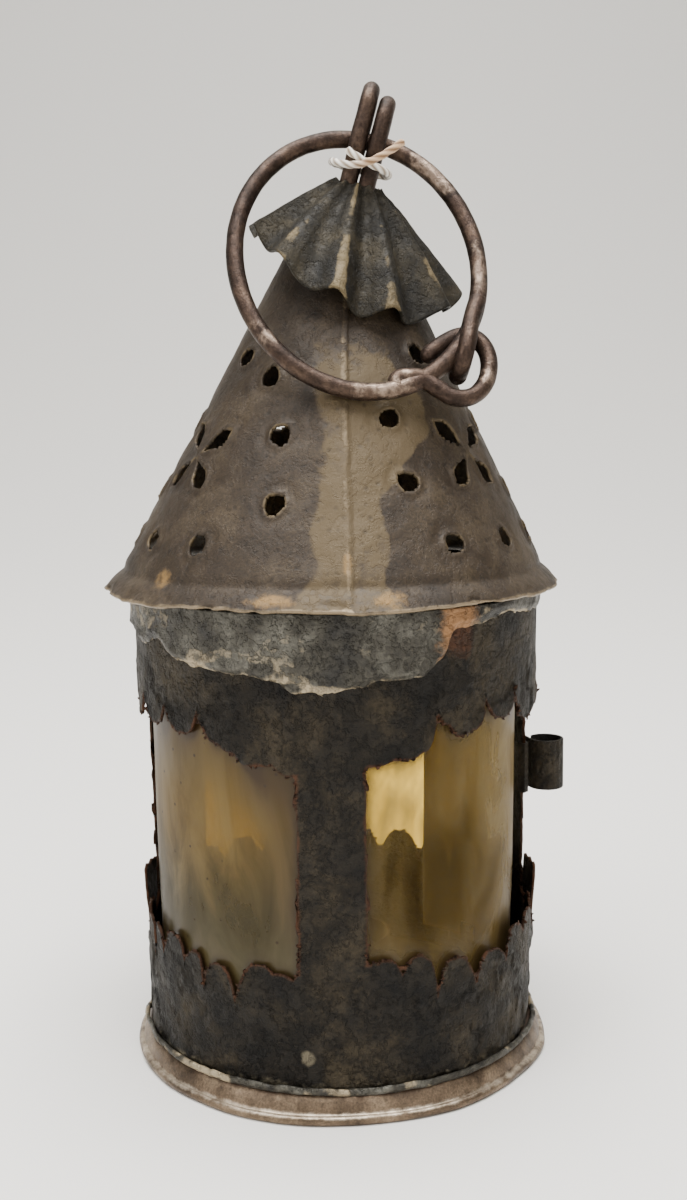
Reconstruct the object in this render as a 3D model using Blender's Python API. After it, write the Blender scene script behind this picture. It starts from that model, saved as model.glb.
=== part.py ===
"""Candle lantern: sheet-iron body with horn panes and a rear door, pierced roof, smoke cap and carrying ring.

Frame: metres, +Z up, origin at the centre of the base on the plane it stands on. The front post faces -Y.
Azimuths are in degrees from the front (-Y) towards the right (+X).
"""
import math

import bmesh
import bpy
from mathutils import Matrix, Vector

# ---- Stock and clearances (metres) ----
SHEET = 0.0006          # tinned iron sheet
HORN = 0.0007           # shaved horn leaf
WIRE = 0.0036           # iron wire of the ring and the eye
PIN_WIRE = 0.0016       # hinge pin
GAP = 0.0003            # between pieces that touch
SLACK = 0.0004          # between curved pieces that nest

# ---- Base ----
FOOT_HEIGHT = 0.0060    # standing plane to the bottom edge of the body
FOOT_FLARE = 0.0035     # how far the foot stands out past the body
FOOT_ROLL = 0.0006      # radius of the rolled foot edge

# ---- Body ----
BODY_RADIUS = 0.0420    # outside, at the foot
BODY_TAPER = 0.015      # radius gained per height
WALL_HEIGHT = 0.0958    # body bottom edge to the eaves
SILL = 0.0250           # body bottom edge to the tips of the lower lobes
SILL_NOTCH = 0.0070     # depth of the cuts between the lower lobes
SILL_REAR_RISE = 0.0028 # the lobes under the door stand this much higher
HEAD = 0.0260           # eaves down to the tips of the upper lobes
HEAD_NOTCH = 0.0055     # depth of the cuts between the upper lobes
APRON = 0.0040          # extra drop of the upper band beside the front post
FRONT_POST = (-11.0, 7.5)
REAR_POST = 110.5       # azimuth of both rear posts' middles, right and left
REAR_POST_HALF = 11.0
LOBE_PITCH = 14.0       # degrees
APRON_RIGHT = 27.0      # azimuth where the lobes begin, right of the front post
APRON_LEFT = 39.0
BODY_COLUMNS = 160
PANE_LEFT = (-114.0, -3.5)      # azimuths of the front panes' edges
PANE_RIGHT = (0.5, 149.0)
PANE_TUCK_LOW = 0.0050  # body bottom edge to the panes' lower edges
PANE_TUCK_HIGH = 0.0130         # eaves down to the panes' upper edges
DENT_RIGHT = (88.0, 34.0, 0.0032)       # azimuth, width in degrees and depth of each pane's hollow
DENT_LEFT = (-84.0, 26.0, 0.0016)
CLIP_AZIMUTHS = (-62.0, -24.0, 24.0, 128.0)
CLIP_WIDTH = 6.0        # degrees
CLIP_LIP = 0.0040       # how far a clip laps a pane

# ---- Roof ----
COLLAR_DROP = 0.0135    # eaves down to the solder collar's lower edge
COLLAR_TOP = 0.0006     # eaves down to its upper edge
OVERHANG = 0.0073       # eaves past the body
FLARE_WIDTH = 0.0043    # flat brim, measured inwards
FLARE_RISE = 0.0042
ROOF_HEIGHT = 0.0722    # eaves to the mouth
MOUTH_RADIUS = 0.0104
ROOF_LEAN = 0.042       # the roof's axis leans this much to the right per height
ROOF_SHIFT = -0.0008    # and starts this far to the right of the body's axis
ROOF_COLUMNS = 72
HOLE_RADIUS = 0.0022
HOLE_SIDES = 8
LOW_HOLES = (34.7, 22.0, 0.0115)        # first azimuth, pitch and height above the eaves
HOLE_PAIRS = (          # azimuth, and the two heights above the eaves
    (21.0, 0.0355, 0.0233), (-20.5, 0.0325, 0.0195), (78.0, 0.0345, 0.0207), (142.0, 0.0350, 0.0225),
    (208.0, 0.0345, 0.0215), (-86.0, 0.0350, 0.0215),
)
HIGH_HOLES = (          # azimuth, height above the eaves
    (-53.8, 0.0480), (43.9, 0.0480), (105.0, 0.0480), (165.0, 0.0480), (230.0, 0.0480), (-32.1, 0.0438),
)
QUATREFOIL_AZIMUTHS = (-58.0, 54.0, 176.0)
QUATREFOIL_HEIGHT = 0.0284              # above the eaves
PETAL_TURNS = (35.0, 132.0, 225.0, 313.0)
PETAL_LENGTH = 0.0088
PETAL_WIDTH = 0.0026
PETAL_START = 0.0010    # quatrefoil centre to a petal's point

# ---- Smoke cap and eye, in a frame that stands on the roof's mouth and tilts right ----
FINIAL_TILT = 15.3
CAP_APEX = (0.0004, -0.0025, 0.0157)
CAP_LEAN_FRONT = 6.0
CAP_LEAN_LEFT = 1.0
CAP_OPENING = 24.03     # degrees that the cap opens wider than the roof
CAP_SLANT = 0.0292      # apex to rim, at the back
CAP_SLANT_FRONT = 0.0062        # extra at the front
CAP_SLANT_RIGHT = 0.0038        # extra at the right, and as much less at the left
CAP_FRONT_TURN = 20.0   # azimuth of the longest pleat
CAP_FLUTES = 11
CAP_FLUTE_DEPTH = 0.0021
CAP_DROOP = 0.0032      # how far the front rim bends down and in
CAP_SAG = 0.0036        # how far the left rim hangs lower
CAP_COLUMNS = 88
EYE_HINGE = (0.0004, -0.0025, 0.0205)
EYE_HALF_WIDTH = 0.0045
EYE_RISE = (0.0100, 0.0081)     # hinge to the top of the left and of the right bow
EYE_LEG_SPREAD = 0.00205        # leg centres from the eye's middle, where they pass the cap
EYE_LEG_DROP = 0.0150

# ---- Carrying ring, in its own plane ----
RING_HALF_WIDTH = 0.0250
RING_HALF_HEIGHT = 0.0284
RING_OFFSET = 0.0042    # ring's middle to the right of the eye
RING_SKEW = 0.10
RING_START = 152.0      # degrees round from the eye where the plain curve begins and ends
RING_END = 93.0
RING_SIDES = 8

# ---- Door ----
DOOR_EDGE = 109.0       # azimuth of the free edge
DOOR_HINGE_EDGE = 237.5
DOOR_STILE = 0.0070
DOOR_SILL = 0.0175      # body bottom edge to the door's lower edge
DOOR_RAIL = 0.0055
DOOR_HEAD = 0.0170      # eaves down to the door's upper edge
HINGE_AZIMUTH = 240.5
KNUCKLE_LENGTH = 0.0060
KNUCKLE_TURN = 285.0    # degrees that a strap is rolled round the pin
HINGE_HEIGHTS = (0.25, 0.75)    # share of the door's height
PULL_HEIGHT = 0.0114
PULL_MIDDLE = 0.0521    # body bottom edge to the pull's middle
PULL_ROLL = 0.0037      # middle radius of the rolled loop
PULL_AZIMUTH = 104.0    # of the loop's middle
PULL_TURN = 310.0       # degrees that the strip is rolled through
KEEPER_REACH = 0.0030

# ---- Candle holder ----
SOCKET_BORE = 0.0105
SOCKET_HEIGHT = 0.0160
DRIP_RADIUS = 0.0190
DRIP_RISE = 0.0030

# ---- Heights that follow from the sizes above ----
EAVES_HEIGHT = FOOT_HEIGHT + WALL_HEIGHT
MOUTH_HEIGHT = EAVES_HEIGHT + ROOF_HEIGHT
SILL_HEIGHT = FOOT_HEIGHT + SILL
HEAD_HEIGHT = EAVES_HEIGHT - HEAD
FLARE_HEIGHT = EAVES_HEIGHT + FLARE_RISE
EAVES_RADIUS = BODY_RADIUS + OVERHANG
FLARE_RADIUS = EAVES_RADIUS - FLARE_WIDTH
ROOF_SLOPE = (FLARE_RADIUS - MOUTH_RADIUS) / (MOUTH_HEIGHT - FLARE_HEIGHT)
CAP_HALF_ANGLE = math.degrees(math.atan(ROOF_SLOPE)) + CAP_OPENING
DOOR_BOTTOM = FOOT_HEIGHT + DOOR_SILL
DOOR_TOP = EAVES_HEIGHT - DOOR_HEAD
DOOR_OFFSET = SLACK + HORN + SLACK      # body's outside to the door frame's inside
WIRE_RADIUS = WIRE / 2
FLOOR_TOP = FOOT_HEIGHT - GAP
PANE_BOTTOM = FOOT_HEIGHT + PANE_TUCK_LOW
PANE_TOP = EAVES_HEIGHT - PANE_TUCK_HIGH

# A cotton tag string tied round the eye's legs, in the finial frame: (right, back, up) in metres.
TIE_DIAMETER = 0.0016
TIE_ROUTE = (
    (-0.0034, -0.0096, 0.0168), (-0.0012, -0.0097, 0.0160), (0.0012, -0.0095, 0.0154),
    (0.0044, -0.0081, 0.0150), (0.0060, -0.0041, 0.0151), (0.0057, 0.0014, 0.0153),
    (0.0022, 0.0036, 0.0154), (-0.0020, 0.0036, 0.0154), (-0.0055, 0.0014, 0.0152),
    (-0.0058, -0.0039, 0.0147), (-0.0042, -0.0081, 0.0140), (-0.0006, -0.0105, 0.0142),
    (0.0026, -0.0119, 0.0158), (0.0052, -0.0124, 0.0181), (0.0076, -0.0124, 0.0208),
)


# ---------------------------------------------------------------- small helpers
def clear_scene():
    """Remove every object of the open scene."""
    for old in list(bpy.data.objects):
        bpy.data.objects.remove(old, do_unlink=True)


def material(name, colour, roughness, metallic):
    """A Principled material with the given linear colour."""
    made = bpy.data.materials.new(name)
    made.use_nodes = True
    shader = made.node_tree.nodes["Principled BSDF"]
    shader.inputs["Base Color"].default_value = (*colour, 1.0)
    shader.inputs["Roughness"].default_value = roughness
    shader.inputs["Metallic"].default_value = metallic
    return made


def add_mesh(name, points, faces, finish, parent=None):
    """One closed body from points and faces, with outward normals and smooth round sides."""
    mesh = bpy.data.meshes.new(name)
    mesh.from_pydata([tuple(p) for p in points], [], faces)
    work = bmesh.new()
    work.from_mesh(mesh)
    bmesh.ops.recalc_face_normals(work, faces=work.faces)
    bmesh.ops.triangulate(work, faces=work.faces)
    work.to_mesh(mesh)
    work.free()
    mesh.shade_smooth()
    mesh.set_sharp_from_angle(angle=math.radians(35))
    mesh.materials.append(finish)
    made = bpy.data.objects.new(name, mesh)
    made.parent = parent
    bpy.context.scene.collection.objects.link(made)
    return made


def add_empty(name, location, rotation=(0.0, 0.0, 0.0), parent=None):
    """A named axis that pieces hang on."""
    made = bpy.data.objects.new(name, None)
    made.location = location
    made.rotation_euler = rotation
    made.parent = parent
    bpy.context.scene.collection.objects.link(made)
    return made


def polar(radius, azimuth, height):
    """Point at a radius, an azimuth in degrees and a height."""
    turn = math.radians(azimuth)
    return Vector((radius * math.sin(turn), -radius * math.cos(turn), height))


def body_radius(height):
    """Outside radius of the body at a height above the standing plane."""
    return BODY_RADIUS + BODY_TAPER * (height - FOOT_HEIGHT)


def roof_radius(height):
    """Outside radius of the roof's straight slope at a height."""
    return FLARE_RADIUS - ROOF_SLOPE * (height - FLARE_HEIGHT)


def roof_shift(height):
    """How far the roof's axis stands to the right at a height."""
    return ROOF_SHIFT + ROOF_LEAN * (height - EAVES_HEIGHT)


def slab(name, front, back, filled, finish, wrap=False, parent=None):
    """A sheet between two grids of points, solid only in its filled cells.

    front and back are lists of columns of points; filled(i, j) says whether the cell between
    columns i, i+1 and rows j, j+1 is material.
    """
    columns = len(front)
    rows = len(front[0])
    points = [p for column in front for p in column] + [p for column in back for p in column]
    offset = columns * rows
    spans = columns if wrap else columns - 1

    def index(i, j):
        return (i % columns) * rows + j

    def solid(i, j):
        inside = 0 <= j < rows - 1 and (wrap or 0 <= i < spans)
        return inside and filled(i % columns, j)

    faces = []
    for i in range(spans):
        for j in range(rows - 1):
            if not solid(i, j):
                continue
            a, b, c, d = index(i, j), index(i + 1, j), index(i + 1, j + 1), index(i, j + 1)
            faces.append((a, b, c, d))
            faces.append((a + offset, d + offset, c + offset, b + offset))
            edges = (((i, j - 1), a, b), ((i + 1, j), b, c), ((i, j + 1), c, d), ((i - 1, j), d, a))
            for cell, p, q in edges:
                if not solid(*cell):
                    faces.append((p, p + offset, q + offset, q))
    used = sorted({v for face in faces for v in face})
    renumber = {v: n for n, v in enumerate(used)}
    faces = [tuple(renumber[v] for v in face) for face in faces]
    return add_mesh(name, [points[v] for v in used], faces, finish, parent)


def turned(name, profile, finish, segments=60, shift=None, parent=None):
    """Turn a closed outline of (radius, height) points round the Z axis; radius 0 makes a pole."""
    points = []
    rings = []
    for radius, height in profile:
        if radius == 0.0:
            rings.append([len(points)] * segments)
            points.append(Vector((0.0, 0.0, height)))
            continue
        rings.append([len(points) + k for k in range(segments)])
        points += [polar(radius, 360.0 * k / segments, height) for k in range(segments)]
    if shift:
        points = [p + Vector((shift(p.z), 0.0, 0.0)) for p in points]
    faces = []
    for lower, upper in zip(rings, rings[1:] + rings[:1]):
        for k in range(segments):
            n = (k + 1) % segments
            corners = [lower[k], lower[n], upper[n], upper[k]]
            face = [v for m, v in enumerate(corners) if v not in corners[:m]]
            if len(face) > 2:
                faces.append(face)
    return add_mesh(name, points, faces, finish, parent)


def smooth_path(controls, count):
    """Points on a Catmull-Rom curve through the controls, evenly many per span."""
    controls = [Vector(c) for c in controls]
    padded = [controls[0] * 2 - controls[1]] + controls + [controls[-1] * 2 - controls[-2]]
    spans = len(controls) - 1
    path = []
    for n in range(count + 1):
        place = n * spans / count
        k = min(int(place), spans - 1)
        t = place - k
        p0, p1, p2, p3 = padded[k:k + 4]
        bend = (p0 * 2 - p1 * 5 + p2 * 4 - p3) * t * t + (p1 * 3 - p0 - p2 * 3 + p3) * t ** 3
        path.append((p1 * 2 + (p2 - p0) * t + bend) / 2)
    return path


def rod(name, path, radius, finish, sides, parent=None):
    """A round bar along a path, with flat ends, whose section turns as little as it can."""
    path = [Vector(p) for p in path]
    points = []
    side = None
    for n, centre in enumerate(path):
        tangent = (path[min(n + 1, len(path) - 1)] - path[max(n - 1, 0)]).normalized()
        if side is None:
            side = tangent.orthogonal()
        side = (side - tangent * side.dot(tangent)).normalized()
        other = tangent.cross(side)
        for k in range(sides):
            turn = 2 * math.pi * k / sides
            points.append(centre + (side * math.cos(turn) + other * math.sin(turn)) * radius)
    faces = [tuple(range(sides)), tuple(range(len(points) - sides, len(points)))]
    for n in range(len(path) - 1):
        for k in range(sides):
            a = n * sides + k
            b = n * sides + (k + 1) % sides
            faces.append((a, b, b + sides, a + sides))
    return add_mesh(name, points, faces, finish, parent)


def strip(name, outline, thickness, bottom, top, finish, parent=None, origin=Vector()):
    """A strip of sheet standing upright: its middle line is bent in plan, its height is constant."""
    left = []
    right = []
    for n, place in enumerate(outline):
        ahead = (outline[min(n + 1, len(outline) - 1)] - outline[max(n - 1, 0)]).normalized()
        normal = Vector((-ahead.y, ahead.x)) * (thickness / 2)
        left.append([Vector((*(place + normal), z)) - origin for z in (bottom, top)])
        right.append([Vector((*(place - normal), z)) - origin for z in (bottom, top)])
    return slab(name, left, right, lambda i, j: True, finish, parent=parent)


def arc(centre, radius, start, end, steps):
    """Plan points along an arc, with its angles in degrees from +X."""
    turns = [math.radians(start + (end - start) * n / steps) for n in range(steps + 1)]
    return [Vector((centre.x + radius * math.cos(t), centre.y + radius * math.sin(t))) for t in turns]


def join(objects, name):
    """Make one object of several separate solids."""
    first = objects[0]
    work = bmesh.new()
    for made in objects:
        work.from_mesh(made.data)
    work.to_mesh(first.data)
    work.free()
    for made in objects[1:]:
        bpy.data.objects.remove(made, do_unlink=True)
    first.name = name
    return first


# ---------------------------------------------------------------- base and candle holder
def build_base(finish):
    """Floor disc with its edge turned down and out into a rolled foot."""
    skirt = BODY_RADIUS + SLACK
    rim = BODY_RADIUS + FOOT_FLARE
    under = FLOOR_TOP - SHEET
    profile = [(0.0, FLOOR_TOP), (skirt, FLOOR_TOP), (rim - FOOT_ROLL, 3 * FOOT_ROLL),
               (rim + FOOT_ROLL / 2, 2 * FOOT_ROLL), (rim, FOOT_ROLL / 2), (rim - FOOT_ROLL / 2, 0.0),
               (rim - 3 * FOOT_ROLL, 0.0), (rim - 3 * FOOT_ROLL, FOOT_ROLL), (skirt - SHEET / 2, under),
               (0.0, under)]
    turned("base_pan", profile, finish)


def build_base_solder(finish):
    """Fillet of solder run round the joint of body and foot."""
    inner = body_radius(FOOT_HEIGHT) + SLACK
    profile = [(inner, FLOOR_TOP + GAP), (inner + 2 * SHEET, FLOOR_TOP - GAP), (inner, FLOOR_TOP + 4 * GAP)]
    turned("base_solder", profile, finish)


def build_candle_holder(plate, tube):
    """A shallow drip pan on the floor and a candle socket that stands in it."""
    low = FLOOR_TOP + GAP
    profile = [(0.0, low + SHEET), (DRIP_RADIUS - DRIP_RISE, low + SHEET),
               (DRIP_RADIUS - SHEET, low + DRIP_RISE),
               (DRIP_RADIUS, low + DRIP_RISE), (DRIP_RADIUS - DRIP_RISE + SHEET / 2, low), (0.0, low)]
    turned("drip_pan", profile, plate, segments=48)
    foot = low + SHEET + GAP
    outer = SOCKET_BORE + SHEET
    profile = [(SOCKET_BORE, foot + SOCKET_HEIGHT), (outer, foot + SOCKET_HEIGHT), (outer, foot + SHEET),
               (outer + 2 * SHEET, foot + SHEET), (outer + 2 * SHEET, foot), (SOCKET_BORE, foot)]
    turned("candle_socket", profile, tube, segments=40)


# ---------------------------------------------------------------- body
def lobe(distance, pitch):
    """0 at the middle of a lobe and 1 at the cut beside it, along a half ellipse."""
    across = 2 * abs((distance / pitch) % 1.0 - 0.5)
    return 1.0 - math.sqrt(max(0.0, 1.0 - across ** 3))


def apron_end(azimuth):
    """Where the lobes begin on this side of the front post."""
    return APRON_RIGHT if 0.0 < azimuth < 180.0 else APRON_LEFT


def lobe_place(azimuth):
    """Azimuth distance past the plain stretch beside the front post, or None on that stretch."""
    distance = min(abs(azimuth), 360.0 - azimuth) - apron_end(azimuth)
    return None if distance < 0 else distance


def head_edge(azimuth):
    """Lower edge of the upper band."""
    place = lobe_place(azimuth)
    if place is None:
        return HEAD_HEIGHT - APRON
    return HEAD_HEIGHT + HEAD_NOTCH * lobe(place, LOBE_PITCH)


def sill_edge(azimuth):
    """Upper edge of the lower band."""
    place = lobe_place(azimuth)
    if place is None:
        return SILL_HEIGHT
    rear = SILL_REAR_RISE if abs(azimuth - 180.0) < 180.0 - REAR_POST else 0.0
    return SILL_HEIGHT + rear - SILL_NOTCH * lobe(place, LOBE_PITCH)


def post_spans():
    """Start and end azimuth of each post, going round from the front post's left edge."""
    right = (REAR_POST - REAR_POST_HALF, REAR_POST + REAR_POST_HALF)
    return (FRONT_POST, right, (360.0 - right[1], 360.0 - right[0]))


def body_azimuths():
    """Azimuths of the body's columns, with one exactly at each post's edge."""
    edges = [edge for span in post_spans() for edge in span]
    edges.append(edges[0] + 360.0)
    azimuths = []
    for start, end in zip(edges, edges[1:]):
        count = math.ceil((end - start) * BODY_COLUMNS / 360.0)
        azimuths += [start + (end - start) * k / count for k in range(count)]
    return azimuths


def in_post(azimuth):
    """Whether an azimuth lies on one of the three posts."""
    return any(start < azimuth < end for start, end in post_spans())


def body_top():
    """Height where the body's top edge meets the inside of the roof."""
    wall = SHEET * math.hypot(1.0, ROOF_SLOPE) + SLACK + abs(ROOF_SHIFT)
    return (FLARE_RADIUS + ROOF_SLOPE * FLARE_HEIGHT - wall - BODY_RADIUS) / (ROOF_SLOPE + BODY_TAPER)


def build_body(finish):
    """One rolled sheet: lobed lower and upper bands joined by three posts."""
    azimuths = body_azimuths()
    top = min(body_top(), FLARE_HEIGHT)
    grids = []
    for inset in (0.0, SHEET):
        grid = []
        for azimuth in azimuths:
            heights = (FOOT_HEIGHT, sill_edge(azimuth), head_edge(azimuth), top)
            grid.append([polar(body_radius(z) - inset, azimuth, z) for z in heights])
        grids.append(grid)

    def filled(i, j):
        return j != 1 or in_post(azimuths[i] + 0.1)

    slab("body_shell", grids[0], grids[1], filled, finish, wrap=True)


def build_collar(finish):
    """Solder run and dressed round the upper band under the eaves."""
    low = EAVES_HEIGHT - COLLAR_DROP
    high = EAVES_HEIGHT - COLLAR_TOP
    inner_low = body_radius(low) + SLACK
    inner_high = body_radius(high) + SLACK
    profile = [(inner_low, low), (inner_low + SHEET, low), (inner_high + 2 * SHEET, high), (inner_high, high)]
    turned("solder_collar", profile, finish)


def pane_dent(azimuth, height):
    """How far a front pane has sprung inwards from the body, mostly near the rear posts."""
    signed = (azimuth + 180.0) % 360.0 - 180.0
    middle, width, depth = DENT_RIGHT if signed > 0 else DENT_LEFT
    return depth * math.exp(-((signed - middle) / width) ** 2)


def build_pane(name, start, end, finish, low, high, radius, columns, parent=None, origin=Vector()):
    """A bent leaf of horn between two azimuths, whose outside follows radius(azimuth, height)."""
    rows = [low + (high - low) * k / 3 for k in range(4)]
    azimuths = [start + (end - start) * k / columns for k in range(columns + 1)]
    outer = [[polar(radius(a, z), a, z) - origin for z in rows] for a in azimuths]
    inner = [[polar(radius(a, z) - HORN, a, z) - origin for z in rows] for a in azimuths]
    slab(name, outer, inner, lambda i, j: True, finish, parent=parent)


def build_front_panes(left_finish, right_finish):
    """The two front panes; the right one runs on behind the rear post into the doorway."""
    def radius(azimuth, height):
        return body_radius(height) - SHEET - SLACK - pane_dent(azimuth, height)

    for name, start, end, finish, columns in (("horn_pane_left", *PANE_LEFT, left_finish, 34),
                                              ("horn_pane_right", *PANE_RIGHT, right_finish, 44)):
        build_pane(name, start, end, finish, PANE_BOTTOM, PANE_TOP, radius, columns)


def build_clips(finish):
    """Small folded tabs inside the bands that carry the front panes by their upper and lower edges."""
    for number, azimuth in enumerate(CLIP_AZIMUTHS, 1):
        for word, edge, fold in (("lower", PANE_BOTTOM, -1.0), ("upper", PANE_TOP, 1.0)):
            outer = body_radius(edge) - SHEET - SLACK - pane_dent(azimuth, edge)
            inner = outer - HORN - GAP
            shelf = edge + fold * GAP
            heel = shelf + fold * SHEET
            tip = edge - fold * CLIP_LIP
            section = [(outer, heel), (outer, shelf), (inner, shelf), (inner, tip), (inner - SHEET, tip),
                       (inner - SHEET, heel)]
            ends = [azimuth - CLIP_WIDTH / 2, azimuth + CLIP_WIDTH / 2]
            points = [polar(r, a, z) for a in ends for r, z in section]
            count = len(section)
            quads = ((0, 1, 2, 5), (2, 3, 4, 5))
            faces = [tuple(v + end for v in quad) for quad in quads for end in (0, count)]
            faces += [(k, (k + 1) % count, (k + 1) % count + count, k + count) for k in range(count)]
            add_mesh(f"pane_clip_{word}_{number}", points, faces, finish)


# ---------------------------------------------------------------- roof
def hole_places():
    """Azimuth and height of every round hole in the roof."""
    places = [(LOW_HOLES[0] + LOW_HOLES[1] * k, EAVES_HEIGHT + LOW_HOLES[2]) for k in range(14)]
    for azimuth, upper, lower in HOLE_PAIRS:
        places += [(azimuth, EAVES_HEIGHT + upper), (azimuth + 3.0, EAVES_HEIGHT + lower)]
    places += [(azimuth, EAVES_HEIGHT + rise) for azimuth, rise in HIGH_HOLES]
    return places


def roof_frame(azimuth, height):
    """Matrix whose Z points out of the roof's slope and whose Y points up the slope."""
    across = polar(1.0, azimuth + 90.0, 0.0)
    outward = polar(1.0, azimuth, 0.0)
    up = (Vector((0.0, 0.0, 1.0)) - outward * ROOF_SLOPE).normalized()
    normal = across.cross(up).normalized()
    place = polar(roof_radius(height), azimuth, height) + Vector((roof_shift(height), 0.0, 0.0))
    turn = Matrix((across, up, normal)).transposed()
    return Matrix.Translation(place) @ turn.to_4x4()


def petal_outline(turn):
    """Teardrop outline with its point near the quatrefoil's centre, turned by an angle in degrees."""
    points = []
    for k in range(HOLE_SIDES):
        t = 2 * math.pi * k / HOLE_SIDES
        along = PETAL_START + PETAL_LENGTH * (1 - math.cos(t)) / 2
        across = PETAL_WIDTH * math.sin(t) * math.sin(t / 2)
        points.append(Matrix.Rotation(math.radians(turn), 2) @ Vector((along, across)))
    return points


def build_roof(finish):
    """Cone of one sheet with a flat brim, pierced with round holes and three quatrefoils."""
    across = SHEET * math.hypot(1.0, ROOF_SLOPE)
    profile = [(EAVES_RADIUS, EAVES_HEIGHT), (FLARE_RADIUS, FLARE_HEIGHT), (MOUTH_RADIUS, MOUTH_HEIGHT),
               (MOUTH_RADIUS - across, MOUTH_HEIGHT), (FLARE_RADIUS - across, FLARE_HEIGHT - SHEET / 4),
               (EAVES_RADIUS - SHEET / 2, EAVES_HEIGHT - SHEET)]
    roof = turned("roof_cone", profile, finish, segments=ROOF_COLUMNS, shift=roof_shift)
    outlines = []
    circle = arc(Vector((0.0, 0.0)), HOLE_RADIUS, 0.0, 360.0, HOLE_SIDES)[:-1]
    outlines += [(circle, place) for place in hole_places()]
    for azimuth in QUATREFOIL_AZIMUTHS:
        for turn in PETAL_TURNS:
            outlines.append((petal_outline(turn), (azimuth, EAVES_HEIGHT + QUATREFOIL_HEIGHT)))
    cutters = []
    for outline, (azimuth, height) in outlines:
        frame = roof_frame(azimuth, height)
        points = [frame @ Vector((*p, z)) for z in (-4 * SHEET, 4 * SHEET) for p in outline]
        count = len(outline)
        faces = [tuple(range(count)), tuple(range(count, 2 * count))]
        faces += [(k, (k + 1) % count, (k + 1) % count + count, k + count) for k in range(count)]
        cutters.append(add_mesh("cutter", points, faces, finish))
    cutter = join(cutters, "roof_piercings")
    cutter.hide_render = True
    cutter.display_type = "WIRE"
    cut = roof.modifiers.new("pierce", "BOOLEAN")
    cut.operation = "DIFFERENCE"
    cut.solver = "EXACT"
    cut.object = cutter


# ---------------------------------------------------------------- cap, eye and ring
def cap_front(turn):
    """1 at the front of the cap, falling to 0 at its sides."""
    return max(0.0, math.cos(math.radians(turn - CAP_FRONT_TURN))) ** 1.5


def cap_left(turn):
    """1 at the left of the cap, falling to 0 at its front and back."""
    return max(0.0, -math.sin(math.radians(turn)))


def cap_point(turn, slant, lift):
    """Point of the fluted cap at an angle, a distance from the apex and a height off its sheet."""
    half = math.radians(CAP_HALF_ANGLE)
    share = slant / CAP_SLANT
    ripple = CAP_FLUTE_DEPTH * share * (0.2 + 0.8 * math.cos(math.radians(CAP_FLUTES * turn))) + lift
    droop = CAP_DROOP * cap_front(turn) * share ** 2
    radius = slant * math.sin(half) + ripple * math.cos(half) - droop
    sag = CAP_SAG * cap_left(turn) * share ** 2
    drop = slant * math.cos(half) - ripple * math.sin(half) + droop + sag
    return polar(radius, turn, -drop)


def build_cap(finish, finial):
    """Round of sheet pleated into flutes, drooping to the front, with a hole for the eye's legs."""
    lean = (math.radians(CAP_LEAN_FRONT), math.radians(-CAP_LEAN_LEFT), 0.0)
    seat = add_empty("cap_seat", CAP_APEX, lean, finial)
    bore = math.hypot(EYE_LEG_SPREAD, (WIRE + GAP) / 2) + WIRE_RADIUS + GAP
    start = bore / math.sin(math.radians(CAP_HALF_ANGLE)) + 2 * SHEET
    grids = []
    for lift in (0.0, -SHEET):
        grid = []
        for k in range(CAP_COLUMNS):
            turn = 360.0 * k / CAP_COLUMNS
            bearing = math.radians(turn)
            end = CAP_SLANT + CAP_SLANT_FRONT * cap_front(turn) + CAP_SLANT_RIGHT * math.sin(bearing)
            grid.append([cap_point(turn, start + (end - start) * s, lift) for s in (0.0, 0.35, 0.7, 1.0)])
        grids.append(grid)
    slab("smoke_cap", grids[0], grids[1], lambda i, j: True, finish, wrap=True, parent=seat)


def eye_path():
    """Centre line of the eye's wire: up, over the left bow, down, across, up, over the right bow, down."""
    apart = (WIRE + GAP) / 2
    wide = EYE_HALF_WIDTH
    near = EYE_LEG_SPREAD
    path = []
    for side, rise in ((-apart, EYE_RISE[0]), (apart, EYE_RISE[1])):
        bow = [(side, -near, -EYE_LEG_DROP * 0.75), (side, -near, -0.0070), (side, -near - 0.0010, -0.0045),
               (side, -wide, -0.0010)]
        for k in range(9):
            turn = math.pi * k / 8
            bow.append((side, -wide * math.cos(turn), rise - wide + wide * math.sin(turn)))
        bow += [(side, wide, -0.0010), (side, near + 0.0010, -0.0045), (side, near, -0.0070),
                (side, near, -EYE_LEG_DROP)]
        path.append(bow)
    left, right = path
    turn_back = [(apart * -math.cos(t), near, -EYE_LEG_DROP - apart * math.sin(t))
                 for t in (math.pi * k / 6 for k in range(1, 6))]
    return left + turn_back + right[::-1]


def build_eye(finish, hinge):
    """Two bows of one wire side by side, their legs passed down through the cap."""
    rod("top_eye", eye_path(), WIRE_RADIUS, finish, 8, hinge)


def ring_point(turn):
    """Centre of the ring's wire at an angle round from the top, as (right, back, up)."""
    bearing = math.radians(turn)
    drop = RING_HALF_HEIGHT * (1.0 - math.cos(bearing))
    skew = RING_SKEW * (drop - RING_HALF_HEIGHT)
    return (RING_OFFSET + RING_HALF_WIDTH * math.sin(bearing) + skew, 0.0, -drop)


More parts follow.
